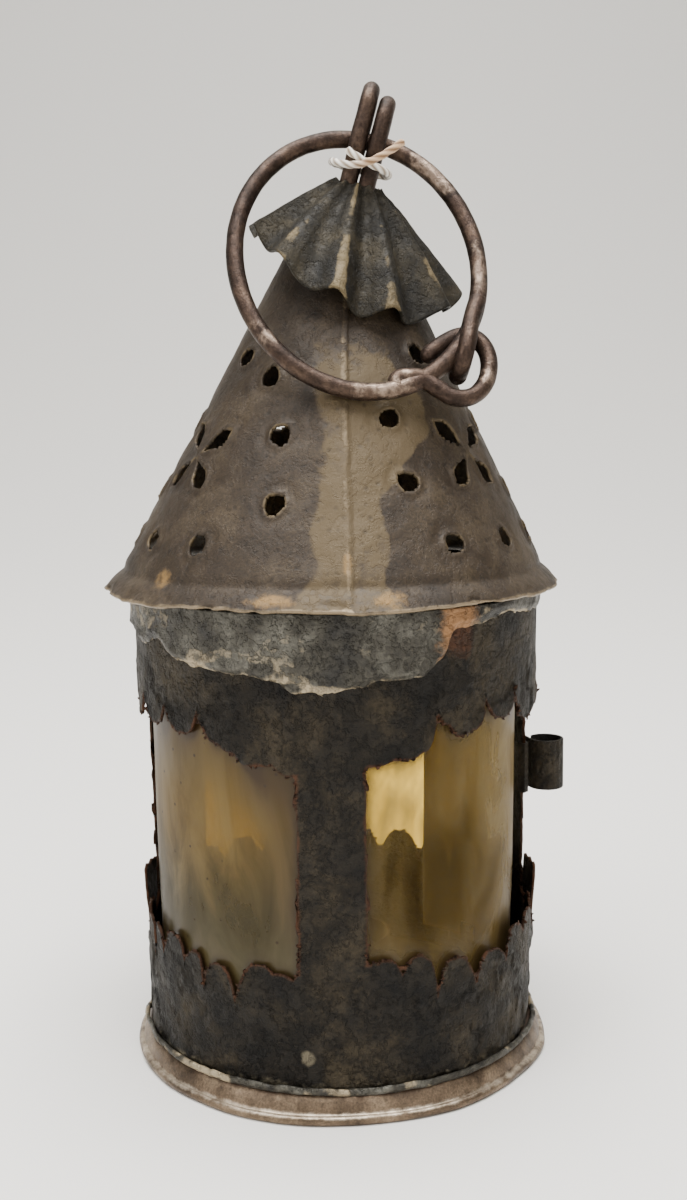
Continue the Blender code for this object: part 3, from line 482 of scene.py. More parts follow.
@dataclass(frozen=True)
class OldMetal:
    """Sheet, wire or solder that has aged: patches of tone, grit, pits, rust, pale stain and worn spots.

    Fields:
        tones: hex colours of the patches, dark to light.
        rust, pale, worn: hex colours that the marks of those names bring in.
        metallic, roughness, polish: the metal's typical values; polish is the roughness where it is worn.
        patch, grit, pit: sizes of the patches, the grit and the pits, in millimetres.
        relief: depth of the grit's bump, in millimetres.
        scale: how far flakes of scale stand out, as a share of the relief.
        shine: specular level, below a half where soot dulls the surface.
    """

    name: str
    tones: tuple[str, str, str]
    rust: str
    pale: str
    worn: str
    metallic: float
    roughness: float
    polish: float
    patch: float
    grit: float
    pit: float
    relief: float
    scale: float
    shine: float = 0.5

    def material(self) -> bpy.types.Material:
        """Build the node material.

        Returns:
            The material.
        """
        made, tree = new_material(self.name)
        where = add(tree, "TexCoord").outputs["Object"]
        patch = add(tree, "TexNoise", {"Vector": where, "Scale": 1000 / self.patch, "Detail": 7.0,
                                       "Roughness": 0.62, "Distortion": 0.4}).outputs["Fac"]
        blot = add(tree, "TexNoise", {"Vector": where, "Scale": 3500 / self.patch, "Detail": 5.0,
                                      "Roughness": 0.7}).outputs["Fac"]
        grit = add(tree, "TexNoise", {"Vector": where, "Scale": 1000 / self.grit, "Detail": 4.0,
                                      "Roughness": 0.65}).outputs["Fac"]
        pits = add(tree, "TexVoronoi", {"Vector": where, "Scale": 1000 / self.pit}).outputs["Distance"]
        holes = add(tree, "MapRange", {"Value": pits, "From Min": 0.08, "From Max": 0.30}).outputs["Result"]
        stops = ((0.34, self.tones[0]), (0.64, self.tones[2]), (0.49, self.tones[1]))
        tone = add(tree, "ValToRGB", {"Fac": patch}, stops=stops).outputs["Color"]
        speck = add(tree, "ValToRGB", {"Fac": grit},
                    stops=((0.28, "#8c8c8c"), (0.70, "#ffffff"))).outputs["Color"]
        colour = add(tree, "Mix", {0: 0.8, 6: tone, 7: speck}, data_type="RGBA",
                     blend_type="MULTIPLY").outputs[2]
        for mark, code, low, high in (("pale", self.pale, 0.42, 0.72), ("rust", self.rust, 0.40, 0.80),
                                      ("worn", self.worn, 0.45, 0.85)):
            amount = add(tree, "Attribute", attribute_name=mark).outputs["Fac"]
            rough = add(tree, "Math", {0: blot, 1: 0.9, 2: -0.42}, operation="MULTIPLY_ADD").outputs[0]
            total = add(tree, "Math", {0: amount, 1: rough}, operation="ADD").outputs[0]
            share = add(tree, "MapRange", {"Value": total, "From Min": low, "From Max": high},
                        interpolation_type="SMOOTHSTEP").outputs["Result"]
            colour = add(tree, "Mix", {0: share, 6: colour, 7: linear(code)}, data_type="RGBA").outputs[2]
        sunk = add(tree, "TexNoise", {"Vector": where, "Scale": 420.0, "Detail": 2.0}).outputs["Fac"]
        sunk = add(tree, "MapRange", {"Value": sunk, "From Min": 0.48, "From Max": 0.62}).outputs["Result"]
        holes = add(tree, "Math", {0: holes, 1: sunk}, operation="MAXIMUM").outputs[0]
        dark = add(tree, "Mix", {0: holes, 6: linear("#4d4a46"), 7: (1.0, 1.0, 1.0, 1.0)},
                   data_type="RGBA").outputs[2]
        colour = add(tree, "Mix", {0: 0.40, 6: colour, 7: dark}, data_type="RGBA",
                     blend_type="MULTIPLY").outputs[2]
        dull = add(tree, "MapRange", {"Value": blot, "From Min": 0.3, "From Max": 0.7,
                                      "To Min": self.roughness - 0.12,
                                      "To Max": self.roughness + 0.14}).outputs["Result"]
        matt = add(tree, "Mix", {0: share, 2: dull, 3: self.polish}).outputs[0]
        height = add(tree, "Math", {0: grit, 1: 0.5, 2: blot}, operation="MULTIPLY_ADD").outputs[0]
        height = add(tree, "Math", {0: holes, 1: 0.25, 2: height}, operation="MULTIPLY_ADD").outputs[0]
        flake = add(tree, "MapRange", {"Value": blot, "From Min": 0.47, "From Max": 0.53},
                    interpolation_type="SMOOTHSTEP").outputs["Result"]
        height = add(tree, "Math", {0: flake, 1: self.scale, 2: height}, operation="MULTIPLY_ADD").outputs[0]
        bump = add(tree, "Bump", {"Height": height, "Strength": 1.0,
                                  "Distance": self.relief * MM}).outputs["Normal"]
        surface = add(tree, "BsdfPrincipled", {"Base Color": colour, "Roughness": matt, "Normal": bump,
                                               "Specular IOR Level": self.shine,
                                               "Metallic": self.metallic}).outputs["BSDF"]
        add(tree, "OutputMaterial", {"Surface": surface})
        return made


@dataclass(frozen=True)
class Horn:
    """Shaved and pressed horn leaf: translucent, layered, browner and denser where grime has settled.

    Fields:
        clear: hex colour of the light let straight through.
        upper, lower: hex colours of the leaf's body, at its top and at its foot; the darker foot is painted
            shade where the far lower band behind the leaf stops the light coming through.
        stain: hex colour of the brown grime beside the metal.
        density: share of the light that the cleanest leaf stops.
        span: heights in metres between which upper turns into lower.
    """

    name: str
    clear: str
    upper: str
    lower: str
    stain: str
    density: float
    span: tuple[float, float]

    def material(self) -> bpy.types.Material:
        """Build the node material: clear light, glossy body and light carried through from behind, mixed.

        Returns:
            The material.
        """
        made, tree = new_material(self.name)
        where = add(tree, "TexCoord").outputs["Object"]
        drawn = add(tree, "Mapping", {"Vector": where, "Scale": (1.0, 1.0, 0.35)}).outputs["Vector"]
        cloud = add(tree, "TexNoise", {"Vector": drawn, "Scale": 95.0, "Detail": 6.0, "Roughness": 0.6,
                                       "Distortion": 0.8}).outputs["Fac"]
        fleck = add(tree, "TexVoronoi", {"Vector": where, "Scale": 260.0}).outputs["Distance"]
        specks = add(tree, "MapRange", {"Value": fleck, "From Min": 0.05, "From Max": 0.11}).outputs["Result"]
        # Upper turns into lower with height: the darker lower colour is painted shade where the far lower
        # band behind the leaf stops the light coming through.
        height = add(tree, "SeparateXYZ", {0: where}).outputs["Z"]
        wander = add(tree, "Math", {0: cloud, 1: 0.030, 2: height}, operation="MULTIPLY_ADD").outputs[0]
        rise = add(tree, "MapRange", {"Value": wander, "From Min": self.span[0] + 0.015,
                                      "From Max": self.span[1] + 0.015},
                   interpolation_type="SMOOTHSTEP").outputs["Result"]
        body = add(tree, "Mix", {0: rise, 6: linear(self.lower), 7: linear(self.upper)},
                   data_type="RGBA").outputs[2]
        veil = add(tree, "ValToRGB", {"Fac": cloud},
                   stops=((0.30, "#b4ad98"), (0.68, "#ffffff"))).outputs["Color"]
        body = add(tree, "Mix", {0: 0.75, 6: body, 7: veil}, data_type="RGBA",
                   blend_type="MULTIPLY").outputs[2]
        grime = add(tree, "Attribute", attribute_name="grime").outputs["Fac"]
        spread = add(tree, "Math", {0: cloud, 1: 0.9, 2: -0.45}, operation="MULTIPLY_ADD").outputs[0]
        spread = add(tree, "Math", {0: spread, 1: grime}, operation="ADD", use_clamp=True).outputs[0]
        body = add(tree, "Mix", {0: spread, 6: body, 7: linear(self.stain)}, data_type="RGBA").outputs[2]
        body = add(tree, "Mix", {0: specks, 6: linear("#3a2c1c"), 7: body}, data_type="RGBA").outputs[2]
        tint = add(tree, "Mix", {0: spread, 6: linear(self.clear), 7: linear(self.stain)},
                   data_type="RGBA").outputs[2]
        thick = add(tree, "MapRange", {"Value": cloud, "From Min": 0.35, "From Max": 0.65,
                                       "To Min": self.density - 0.07,
                                       "To Max": self.density + 0.10}).outputs["Result"]
        veiled = add(tree, "Attribute", attribute_name="veil").outputs["Fac"]
        thick = add(tree, "Math", {0: veiled, 1: thick}, operation="ADD").outputs[0]
        thick = add(tree, "Math", {0: spread, 1: 0.45, 2: thick}, operation="MULTIPLY_ADD",
                    use_clamp=True).outputs[0]
        bump = add(tree, "Bump", {"Height": cloud, "Strength": 0.5, "Distance": 0.2 * MM}).outputs["Normal"]
        gloss = add(tree, "BsdfPrincipled", {"Base Color": body, "Normal": bump, "Roughness": 0.32,
                                             "Specular IOR Level": 0.35, "IOR": 1.54}).outputs["BSDF"]
        glow = add(tree, "BsdfTranslucent", {"Color": body}).outputs["BSDF"]
        leaf = add(tree, "MixShader", {0: 0.45, 1: gloss, 2: glow}).outputs[0]
        through = add(tree, "BsdfTransparent", {"Color": tint}).outputs["BSDF"]
        add(tree, "OutputMaterial", {"Surface": add(tree, "MixShader", {0: thick, 1: through,
                                                                       2: leaf}).outputs[0]})
        return made


@dataclass(frozen=True)
class Cotton:
    """Twisted cotton string: matt, a little hairy, darker between its plies as painted shade, and stained at
    its cut end.
    """

    name: str = "cotton_string"
    clean: str = "#efe9dd"
    soiled: str = "#c9a987"

    def material(self) -> bpy.types.Material:
        """Build the node material.

        Returns:
            The material.
        """
        made, tree = new_material(self.name)
        where = add(tree, "TexCoord").outputs["Object"]
        fibre = add(tree, "TexNoise", {"Vector": where, "Scale": 4000.0, "Detail": 3.0}).outputs["Fac"]
        soil = add(tree, "Attribute", attribute_name="soil").outputs["Fac"]
        # The grooves between the plies are darkened here as painted shade.
        valley = add(tree, "Attribute", attribute_name="valley").outputs["Fac"]
        colour = add(tree, "Mix", {0: soil, 6: linear(self.clean), 7: linear(self.soiled)},
                     data_type="RGBA").outputs[2]
        shade = add(tree, "Mix", {0: valley, 6: (1.0, 1.0, 1.0, 1.0), 7: linear("#8f7f6d")},
                    data_type="RGBA").outputs[2]
        colour = add(tree, "Mix", {0: 1.0, 6: colour, 7: shade}, data_type="RGBA",
                     blend_type="MULTIPLY").outputs[2]
        bump = add(tree, "Bump", {"Height": fibre, "Strength": 0.6, "Distance": 0.1 * MM}).outputs["Normal"]
        surface = add(tree, "BsdfPrincipled", {"Base Color": colour, "Normal": bump, "Roughness": 0.92,
                                               "Sheen Weight": 0.25}).outputs["BSDF"]
        add(tree, "OutputMaterial", {"Surface": surface})
        return made


@dataclass(frozen=True)
class PaperSweep:
    """Matt pale grey background paper."""

    name: str = "background_paper"
    colour: str = "#efece6"

    def material(self) -> bpy.types.Material:
        """Build the node material.

        Returns:
            The material.
        """
        made, tree = new_material(self.name)
        where = add(tree, "TexCoord").outputs["Object"]
        tooth = add(tree, "TexNoise", {"Vector": where, "Scale": 900.0, "Detail": 2.0}).outputs["Fac"]
        bump = add(tree, "Bump", {"Height": tooth, "Strength": 0.05, "Distance": 0.1 * MM}).outputs["Normal"]
        surface = add(tree, "BsdfPrincipled", {"Base Color": linear(self.colour), "Normal": bump,
                                               "Roughness": 0.9}).outputs["BSDF"]
        add(tree, "OutputMaterial", {"Surface": surface})
        return made


# Rolled iron sheet, burnt by years of soot and oil: a crust of scale that is matt, near black-brown, with
# red rust at torn edges.
BLACK_SHEET = OldMetal("blackened_sheet_iron", tones=("#0f0c08", "#1f1a12", "#3a3224"), rust="#432a1a",
                       pale="#5f5848", worn="#5a5145", metallic=0.25, roughness=0.60, polish=0.45,
                       patch=12.0, grit=0.70, pit=2.6, relief=0.70, scale=0.80, shine=0.22)
# The same sheet, less burnt, on the roof: warm grey-brown with tan-grey stains where solder flux ran.
ROOF_SHEET = OldMetal("weathered_roof_sheet", tones=("#2a2117", "#392e21", "#4b3f2f"), rust="#85683e",
                      pale="#51442f", worn="#7d6d55", metallic=0.28, roughness=0.56, polish=0.42,
                      patch=14.0, grit=0.55, pit=2.3, relief=0.16, scale=0.35, shine=0.35)
# The cap's sheet: dark grey with a greenish-brown film in the pleats, rubbed paler on the ridges, with
# painted highlight on the ridges of its front right.
CAP_SHEET = OldMetal("sooty_cap_sheet", tones=("#14110a", "#241f14", "#3a3324"), rust="#6a5234",
                     pale="#665940", worn="#8f8474", metallic=0.25, roughness=0.62, polish=0.42,
                     patch=9.0, grit=0.55, pit=2.3, relief=0.26, scale=0.50, shine=0.30)
# Tinplate whose tin has worn to a warm pewter grey, satin, with grime near the joint, a painted shadow along
# the rim's bottom edge and a partly painted highlight on the roll.
WORN_TIN = OldMetal("worn_tinplate", tones=("#4b3d2f", "#6f5d4a", "#917d66"), rust="#3c2c20",
                    pale="#b3a590", worn="#c2b39e", metallic=0.70, roughness=0.42, polish=0.28, patch=9.0,
                    grit=0.45, pit=2.0, relief=0.07, scale=0.15)
# Forged iron wire, brown with handling and half polished where it is held; on the ring its worn colour is
# also a painted highlight on the wire's front side.
IRON_WIRE = OldMetal("handled_iron_wire", tones=("#2a1f18", "#42332a", "#5b493c"), rust="#4f3325",
                     pale="#6f6459", worn="#8f7c6c", metallic=0.80, roughness=0.44, polish=0.30,
                     patch=6.0, grit=0.50, pit=2.2, relief=0.09, scale=0.25)
# Lead-tin solder, oxidised to a dull grey-brown with bluish places and a pale crust.
SOLDER = OldMetal("oxidised_solder", tones=("#211e18", "#3d392f", "#646157"), rust="#8a643f",
                  pale="#97896f", worn="#a6a9ab", metallic=0.40, roughness=0.48, polish=0.38, patch=8.0,
                  grit=0.70, pit=2.4, relief=0.35, scale=0.60)
# Horn of the left window: milky, cream above and grey-green below, the darker grey-green being painted shade
# of the far lower band behind it.
MILKY_HORN = Horn("milky_horn", clear="#d2b870", upper="#8a7440", lower="#5d5436", stain="#3f2e18",
                  density=0.64, span=(0.036, 0.058))
# Horn of the right window: yellow and clear in front, clouded where it turns behind the rear post, and a
# little darker below as painted shade of the far lower band behind it.
AMBER_HORN = Horn("amber_horn", clear="#f6e5a4", upper="#a69362", lower="#8a774c", stain="#4f3d26",
                  density=0.17, span=(0.028, 0.070))
# Horn of the door: thin and nearly clear.
CLEAR_HORN = Horn("thin_clear_horn", clear="#fdf8e8", upper="#e0d3a8", lower="#d3c79e", stain="#8a7550",
                  density=0.06, span=(0.030, 0.080))
STRING = Cotton()


# ---------------------------------------------------------------- dressing
def dress(piece: bpy.types.Object, finish: bpy.types.Material, rides: Rides = Rides.LANTERN,
          nodes: Sequence[str] = ()) -> bpy.types.Object:
    """Give a piece its finish, its body and the CAD nodes that it stands for.

    Args:
        piece: the object.
        finish: its material.
        rides: the body it moves with.
        nodes: CAD nodes it replaces.

    Returns:
        The same object.
    """
    piece.data.materials.clear()
    piece.data.materials.append(finish)
    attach(piece, rides.value)
    if nodes:
        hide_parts(*nodes)
    LOG.info("%s: %d points on %s", piece.name, len(piece.data.vertices), rides.value)
    return piece


@dataclass
class Finishes:
    """One material for each finish, made once and shared."""

    black: bpy.types.Material = field(default_factory=BLACK_SHEET.material)
    roof: bpy.types.Material = field(default_factory=ROOF_SHEET.material)
    cap: bpy.types.Material = field(default_factory=CAP_SHEET.material)
    tin: bpy.types.Material = field(default_factory=WORN_TIN.material)
    wire: bpy.types.Material = field(default_factory=IRON_WIRE.material)
    solder: bpy.types.Material = field(default_factory=SOLDER.material)
    milky: bpy.types.Material = field(default_factory=MILKY_HORN.material)
    amber: bpy.types.Material = field(default_factory=AMBER_HORN.material)
    clear: bpy.types.Material = field(default_factory=CLEAR_HORN.material)
    string: bpy.types.Material = field(default_factory=STRING.material)


# ---------------------------------------------------------------- body
@dataclass
class BodyWall:
    """The rolled sheet round the lantern: upper and lower bands with torn, lobed edges, and three posts.

    Fields:
        foot, top: heights of the sheet's edges.
        radius, taper: outside radius at the foot, and what it gains per height.
        sheet: wall.
        head, sill: edges of the two bands as (azimuth, height in mm) of each tab's tip and each cut's bottom.
        posts: middle azimuth and half width of each post, in degrees.
    """

    foot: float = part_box("body_shell")[0][2]
    top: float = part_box("body_shell")[1][2]
    radius: float = 42.0 * MM
    taper: float = 0.015
    sheet: float = 0.6 * MM
    head: tuple[tuple[float, float], ...] = (
        (-73.0, 76.5), (-66.5, 81.5), (-59.3, 76.0), (-52.7, 81.0), (-46.0, 75.7), (-38.9, 80.8),
        (-32.0, 74.8), (-27.5, 73.3), (-22.5, 71.3), (-16.5, 71.6), (-11.5, 69.8), (0.0, 69.5),
        (8.0, 71.3), (14.0, 72.3), (18.8, 72.4), (22.6, 73.4), (26.8, 80.7), (30.5, 78.2), (34.6, 75.6),
        (38.2, 76.4), (42.9, 82.4), (50.3, 77.5), (56.1, 83.1), (61.5, 76.2), (66.0, 75.2),
        (71.5, 77.0), (78.0, 82.0))
    sill: tuple[tuple[float, float], ...] = (
        (-67.5, 31.5), (-60.5, 26.5), (-53.9, 32.4), (-48.7, 27.4), (-43.6, 30.4), (-40.6, 23.8),
        (-35.5, 29.3), (-29.2, 22.8), (-22.3, 30.9), (-18.0, 29.6), (-12.3, 28.7), (-9.6, 29.8),
        (0.0, 30.5), (7.8, 32.0), (12.8, 32.3), (17.0, 29.0), (21.4, 32.3), (24.1, 31.6), (27.2, 23.0),
        (32.6, 30.4), (40.5, 23.8), (47.1, 29.4), (54.3, 25.4), (59.6, 31.6), (66.8, 28.9),
        (73.0, 31.8), (80.0, 26.0))
    posts: tuple[tuple[float, float], ...] = ((-1.6, 9.0), (110.5, 11.0), (-110.5, 11.0))
    pitch: float = 14.0
    rear_rise: float = 2.8
    grain: Grain = Grain(11)

    def outside(self, height: Array) -> Array:
        """Radius of the plain outside at a height: a straight taper from the foot."""
        return self.radius + self.taper * (height - self.foot)

    def fringe(self, azimuth: Array, edge: Sequence[tuple[float, float]], tip: float, cut: float) -> Array:
        """Height of a band's edge: the listed tongues in front, and even ones of the same pitch behind.

        Args:
            azimuth: degrees round the body.
            edge: the front's tips and cuts, heights in millimetres.
            tip: height of the tips behind, in millimetres.
            cut: height of the cuts behind, in millimetres.

        Returns:
            Heights in metres.
        """
        turned = signed(azimuth)
        place = (turned % 360.0 - 180.0) / self.pitch
        rear = tip + (cut - tip) * np.abs(2.0 * (place % 1.0) - 1.0) ** 3
        front = scalloped(edge, turned, tip < cut)
        inside = (turned > edge[0][0]) & (turned < edge[-1][0])
        return np.where(inside, front, rear) * MM

    def upper_edge(self, azimuth: Array) -> Array:
        """Height of the upper band's lower edge."""
        return self.fringe(azimuth, self.head, 75.8, 81.3)

    def lower_edge(self, azimuth: Array) -> Array:
        """Height of the lower band's upper edge, which stands higher under the door."""
        rear = np.where(np.abs(signed(azimuth)) > self.posts[1][0], self.rear_rise * MM, 0.0)
        return self.fringe(azimuth, self.sill, 31.0, 24.0) + rear

    def metal(self, azimuth: Array, height: Array) -> Array:
        """Distance inside the metal: the largest of those inside the two bands and the posts, made ragged.

        Args:
            azimuth: degrees round the body.
            height: heights in metres.

        Returns:
            Distances in metres, negative in the windows.
        """
        turned = signed(azimuth)
        best = np.maximum(height - self.upper_edge(azimuth), self.lower_edge(azimuth) - height)
        arc = self.radius * math.pi / 180.0
        for middle, half in self.posts:
            best = np.maximum(best, (half - np.abs(signed(turned - middle))) * arc)
        ragged = self.grain.layers(polar(self.outside(height), azimuth, height), 3.2 * MM, 3)
        return best + 0.22 * MM * ragged

    def crust(self, azimuth: Array, height: Array) -> Array:
        """How far scale and dents stand out: fine layers everywhere, more on the bands, curled at the tips.

        Args:
            azimuth: degrees round the body.
            height: heights in metres.

        Returns:
            Offsets outwards, in metres.
        """
        points = polar(self.outside(height), azimuth, height)
        bands = np.maximum(smoothstep(height, 0.072, 0.080), 1.0 - smoothstep(height, 0.022, 0.034))
        fine = self.grain.layers(points, 2.6 * MM, 4)
        broad = self.grain.layers(points + 0.1, 16.0 * MM, 2)
        flakes = smoothstep(self.grain.layers(points + 0.3, 6.0 * MM, 4), 0.02, 0.16)
        lip = np.exp(-np.clip(self.metal_plain(azimuth, height), 0.0, 1.0) / (1.2 * MM))
        soldered = 1.0 - smoothstep(height, 0.085, 0.089)
        scale = 0.14 * fine + 0.22 * broad + 0.34 * bands * flakes + 0.35 * lip * bands
        return scale * soldered * MM

    def metal_plain(self, azimuth: Array, height: Array) -> Array:
        """Distance inside the two bands alone, without the ragged edge."""
        return np.maximum(height - self.upper_edge(azimuth), self.lower_edge(azimuth) - height)

    def place(self, azimuth: Array, height: Array) -> Array:
        """A point of the outside: the tapered circle plus the crust."""
        return polar(self.outside(height) + self.crust(azimuth, height), azimuth, height)

    def rust(self, azimuth: Array, height: Array) -> Array:
        """Red rust along the torn edges and up from the lower tabs.

        Args:
            azimuth: degrees round the body.
            height: heights in metres.

        Returns:
            Amounts for the rust mark.
        """
        edge = np.exp(-np.clip(self.metal(azimuth, height), 0.0, 1.0) / (0.9 * MM))
        orange = hump(signed(azimuth), 34.0, 7.0) * smoothstep(height, 0.086, 0.094)
        return 0.66 * edge + 0.7 * orange

    def pale(self, azimuth: Array, height: Array) -> Array:
        """Pale scuffs: low on the bands near the foot's solder, and a spot of solder on the front.

        Args:
            azimuth: degrees round the body.
            height: heights in metres.

        Returns:
            Amounts for the pale mark.
        """
        foot = 0.50 * (1.0 - smoothstep(height, self.foot, self.foot + 5.0 * MM))
        spot = hump(signed(azimuth), -8.5, 2.6) * hump(height, 0.0125, 0.0022)
        return foot + 0.9 * spot

    def build(self, finishes: Finishes) -> None:
        """Build and dress the wall and the two tabs that stand out beside the rear posts.

        Args:
            finishes: the shared materials.
        """
        around = np.concatenate([np.arange(-105.0, 105.0, 0.65), np.arange(105.0, 255.0, 1.0)])
        rows = np.concatenate([np.arange(self.foot, 0.021, 1.1 * MM), np.arange(0.021, 0.0365, 0.42 * MM),
                               np.arange(0.0365, 0.068, 1.6 * MM), np.arange(0.068, 0.0845, 0.42 * MM),
                               np.linspace(0.0845, self.top, 15)])
        wall = Sheet("body_wall", around, rows, self.place, self.metal,
                     {"rust": self.rust, "pale": self.pale}, closed=True, thickness=self.sheet)
        dress(wall.build(), finishes.black, nodes=["body_shell"])
        for name, middle in (("side_tab_right", 97.0), ("side_tab_left", -98.5)):
            self.build_tab(name, middle, finishes)

    def build_tab(self, name: str, middle: float, finishes: Finishes) -> None:
        """One flat-topped tab bent out beside a rear post.

        Args:
            name: the piece's name.
            middle: azimuth of the tab's middle.
            finishes: the shared materials.
        """
        def place(azimuth: Array, height: Array) -> Array:
            """A point of the tab's outside, leaning out as it rises."""
            out = 0.25 * MM + 0.7 * MM * smoothstep(height, 0.022, 0.036)
            return polar(self.outside(height) + self.sheet + out, azimuth, height)

        def solid(azimuth: Array, height: Array) -> Array:
            """Distance inside the tab's sides and its uneven top."""
            side = (5.6 - np.abs(azimuth - middle)) * self.radius * math.pi / 180.0
            top = 0.0372 - height + 0.0003 * np.sin(azimuth * 1.3)
            return np.minimum(side, top) + 0.25 * MM * self.grain.layers(place(azimuth, height), 2.5 * MM, 3)

        tab = Sheet(name, np.linspace(middle - 8.0, middle + 8.0, 34), np.linspace(0.0205, 0.0400, 56), place,
                    solid, {"rust": lambda a, z: 0.7 * np.exp(-np.clip(solid(a, z), 0, 1) / MM)},
                    thickness=self.sheet)
        dress(tab.build(), finishes.black)


@dataclass
class SolderWork:
    """Solder run under the eaves as a lumpy smear, and the crusty bead round the foot of the wall.

    Fields:
        wall: the body that the solder lies on.
        top: height of the smear's upper edge.
        lower: the smear's lower edge in front, as (azimuth, height in mm).
    """

    wall: BodyWall
    top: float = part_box("solder_collar")[1][2]
    lower: tuple[tuple[float, float], ...] = (
        (-180.0, 96.5), (-150.0, 98.0), (-120.0, 95.5), (-95.0, 97.0), (-78.0, 93.5), (-66.0, 92.0),
        (-56.0, 93.5), (-47.0, 91.0), (-37.9, 90.3), (-25.2, 89.2), (-16.9, 88.4), (-9.1, 86.4),
        (-1.5, 85.8), (6.1, 86.5), (12.5, 88.6), (21.9, 88.0), (27.5, 91.0), (32.4, 97.0), (50.0, 98.6),
        (75.0, 97.2), (100.0, 98.5), (130.0, 96.0), (155.0, 98.2), (180.0, 96.5))
    grain: Grain = Grain(23)

    def lumps(self, azimuth: Array, height: Array) -> Array:
        """Thickness of the smear: lumps of two sizes, thickest at its lower edge, thin where it was wiped.

        Args:
            azimuth: degrees round the body.
            height: heights in metres.

        Returns:
            Thicknesses in metres.
        """
        points = polar(self.wall.radius, azimuth, height)
        lumps = self.grain.layers(points, 7.0 * MM, 4)
        edge = hump(self.solid(azimuth, height), 1.0 * MM, 1.4 * MM)
        swell = smoothstep(self.solid(azimuth, height), 0.0, 1.6 * MM)
        return (0.12 + (0.50 + 0.40 * lumps + 0.35 * edge) * swell) * MM

    def solid(self, azimuth: Array, height: Array) -> Array:
        """Distance above the smear's ragged lower edge.

        Args:
            azimuth: degrees round the body.
            height: heights in metres.

        Returns:
            Distances in metres, negative below the edge.
        """
        points = polar(self.wall.radius, azimuth, height)
        ragged = 0.7 * MM * self.grain.layers(points, 5.0 * MM, 4)
        return height - eased(self.lower, signed(azimuth)) * MM + ragged

    def place(self, azimuth: Array, height: Array) -> Array:
        """A point of the smear's outside."""
        return polar(self.wall.outside(height) + self.lumps(azimuth, height), azimuth, height)

    def pale(self, azimuth: Array, height: Array) -> Array:
        """Pale crust along the lower edge and in wiped streaks.

        Args:
            azimuth: degrees round the body.
            height: heights in metres.

        Returns:
            Amounts for the pale mark.
        """
        edge = np.exp(-np.clip(self.solid(azimuth, height), 0.0, 1.0) / (1.3 * MM))
        streak = self.grain.layers(polar(self.wall.radius, azimuth, height * 2.4), 9.0 * MM, 3)
        return 0.50 * edge + 0.42 * smoothstep(streak, 0.0, 0.5)

    def rust(self, azimuth: Array, height: Array) -> Array:
        """Rust where the solder has broken away at the right."""
        return 0.95 * hump(signed(azimuth), 33.0, 7.0) + 0.25 * hump(signed(azimuth), -50.0, 12.0)

    def bead_wobble(self, points: Array) -> Array:
        """Move the foot bead's points outwards and up and down by layered noise.

        Args:
            points: places in metres, with x, y and z in the last axis.

        Returns:
            Offsets in metres.
        """
        rough = self.grain.layers(points, 3.5 * MM, 4)[:, None]
        flat = points / np.linalg.norm(points[:, :2], axis=1, keepdims=True)
        lift = np.clip(rough, -0.4, 1.0) * np.array([0, 0, 0.5 * MM])
        return rough * np.array([0.45, 0.45, 0.0]) * MM * flat + lift

    def build(self, finishes: Finishes) -> None:
        """Build and dress the smear and the bead.

        Args:
            finishes: the shared materials.
        """
        smear = Sheet("eaves_solder", np.linspace(0.0, 360.0, 420, endpoint=False),
                      np.linspace(83.5 * MM, self.top, 56), self.place, self.solid,
                      {"pale": self.pale, "rust": self.rust}, closed=True, thickness=0.35 * MM)
        dress(smear.build(), finishes.solder, nodes=["solder_collar"])
        low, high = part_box("base_solder")
        ring = np.linspace(0.0, 2.0 * math.pi, 10, endpoint=False)
        profile = np.stack([high[0] - 0.60 * MM + 0.50 * MM * np.cos(ring),
                            low[2] + 0.70 * MM + 0.75 * MM * np.sin(ring)], axis=1)
        bead = lathe("foot_solder", profile, 420, self.bead_wobble,
                     {"pale": lambda p: 0.25 + 0.8 * self.grain.layers(p, 6.0 * MM, 3)})
        dress(bead, finishes.solder, nodes=["base_solder"])


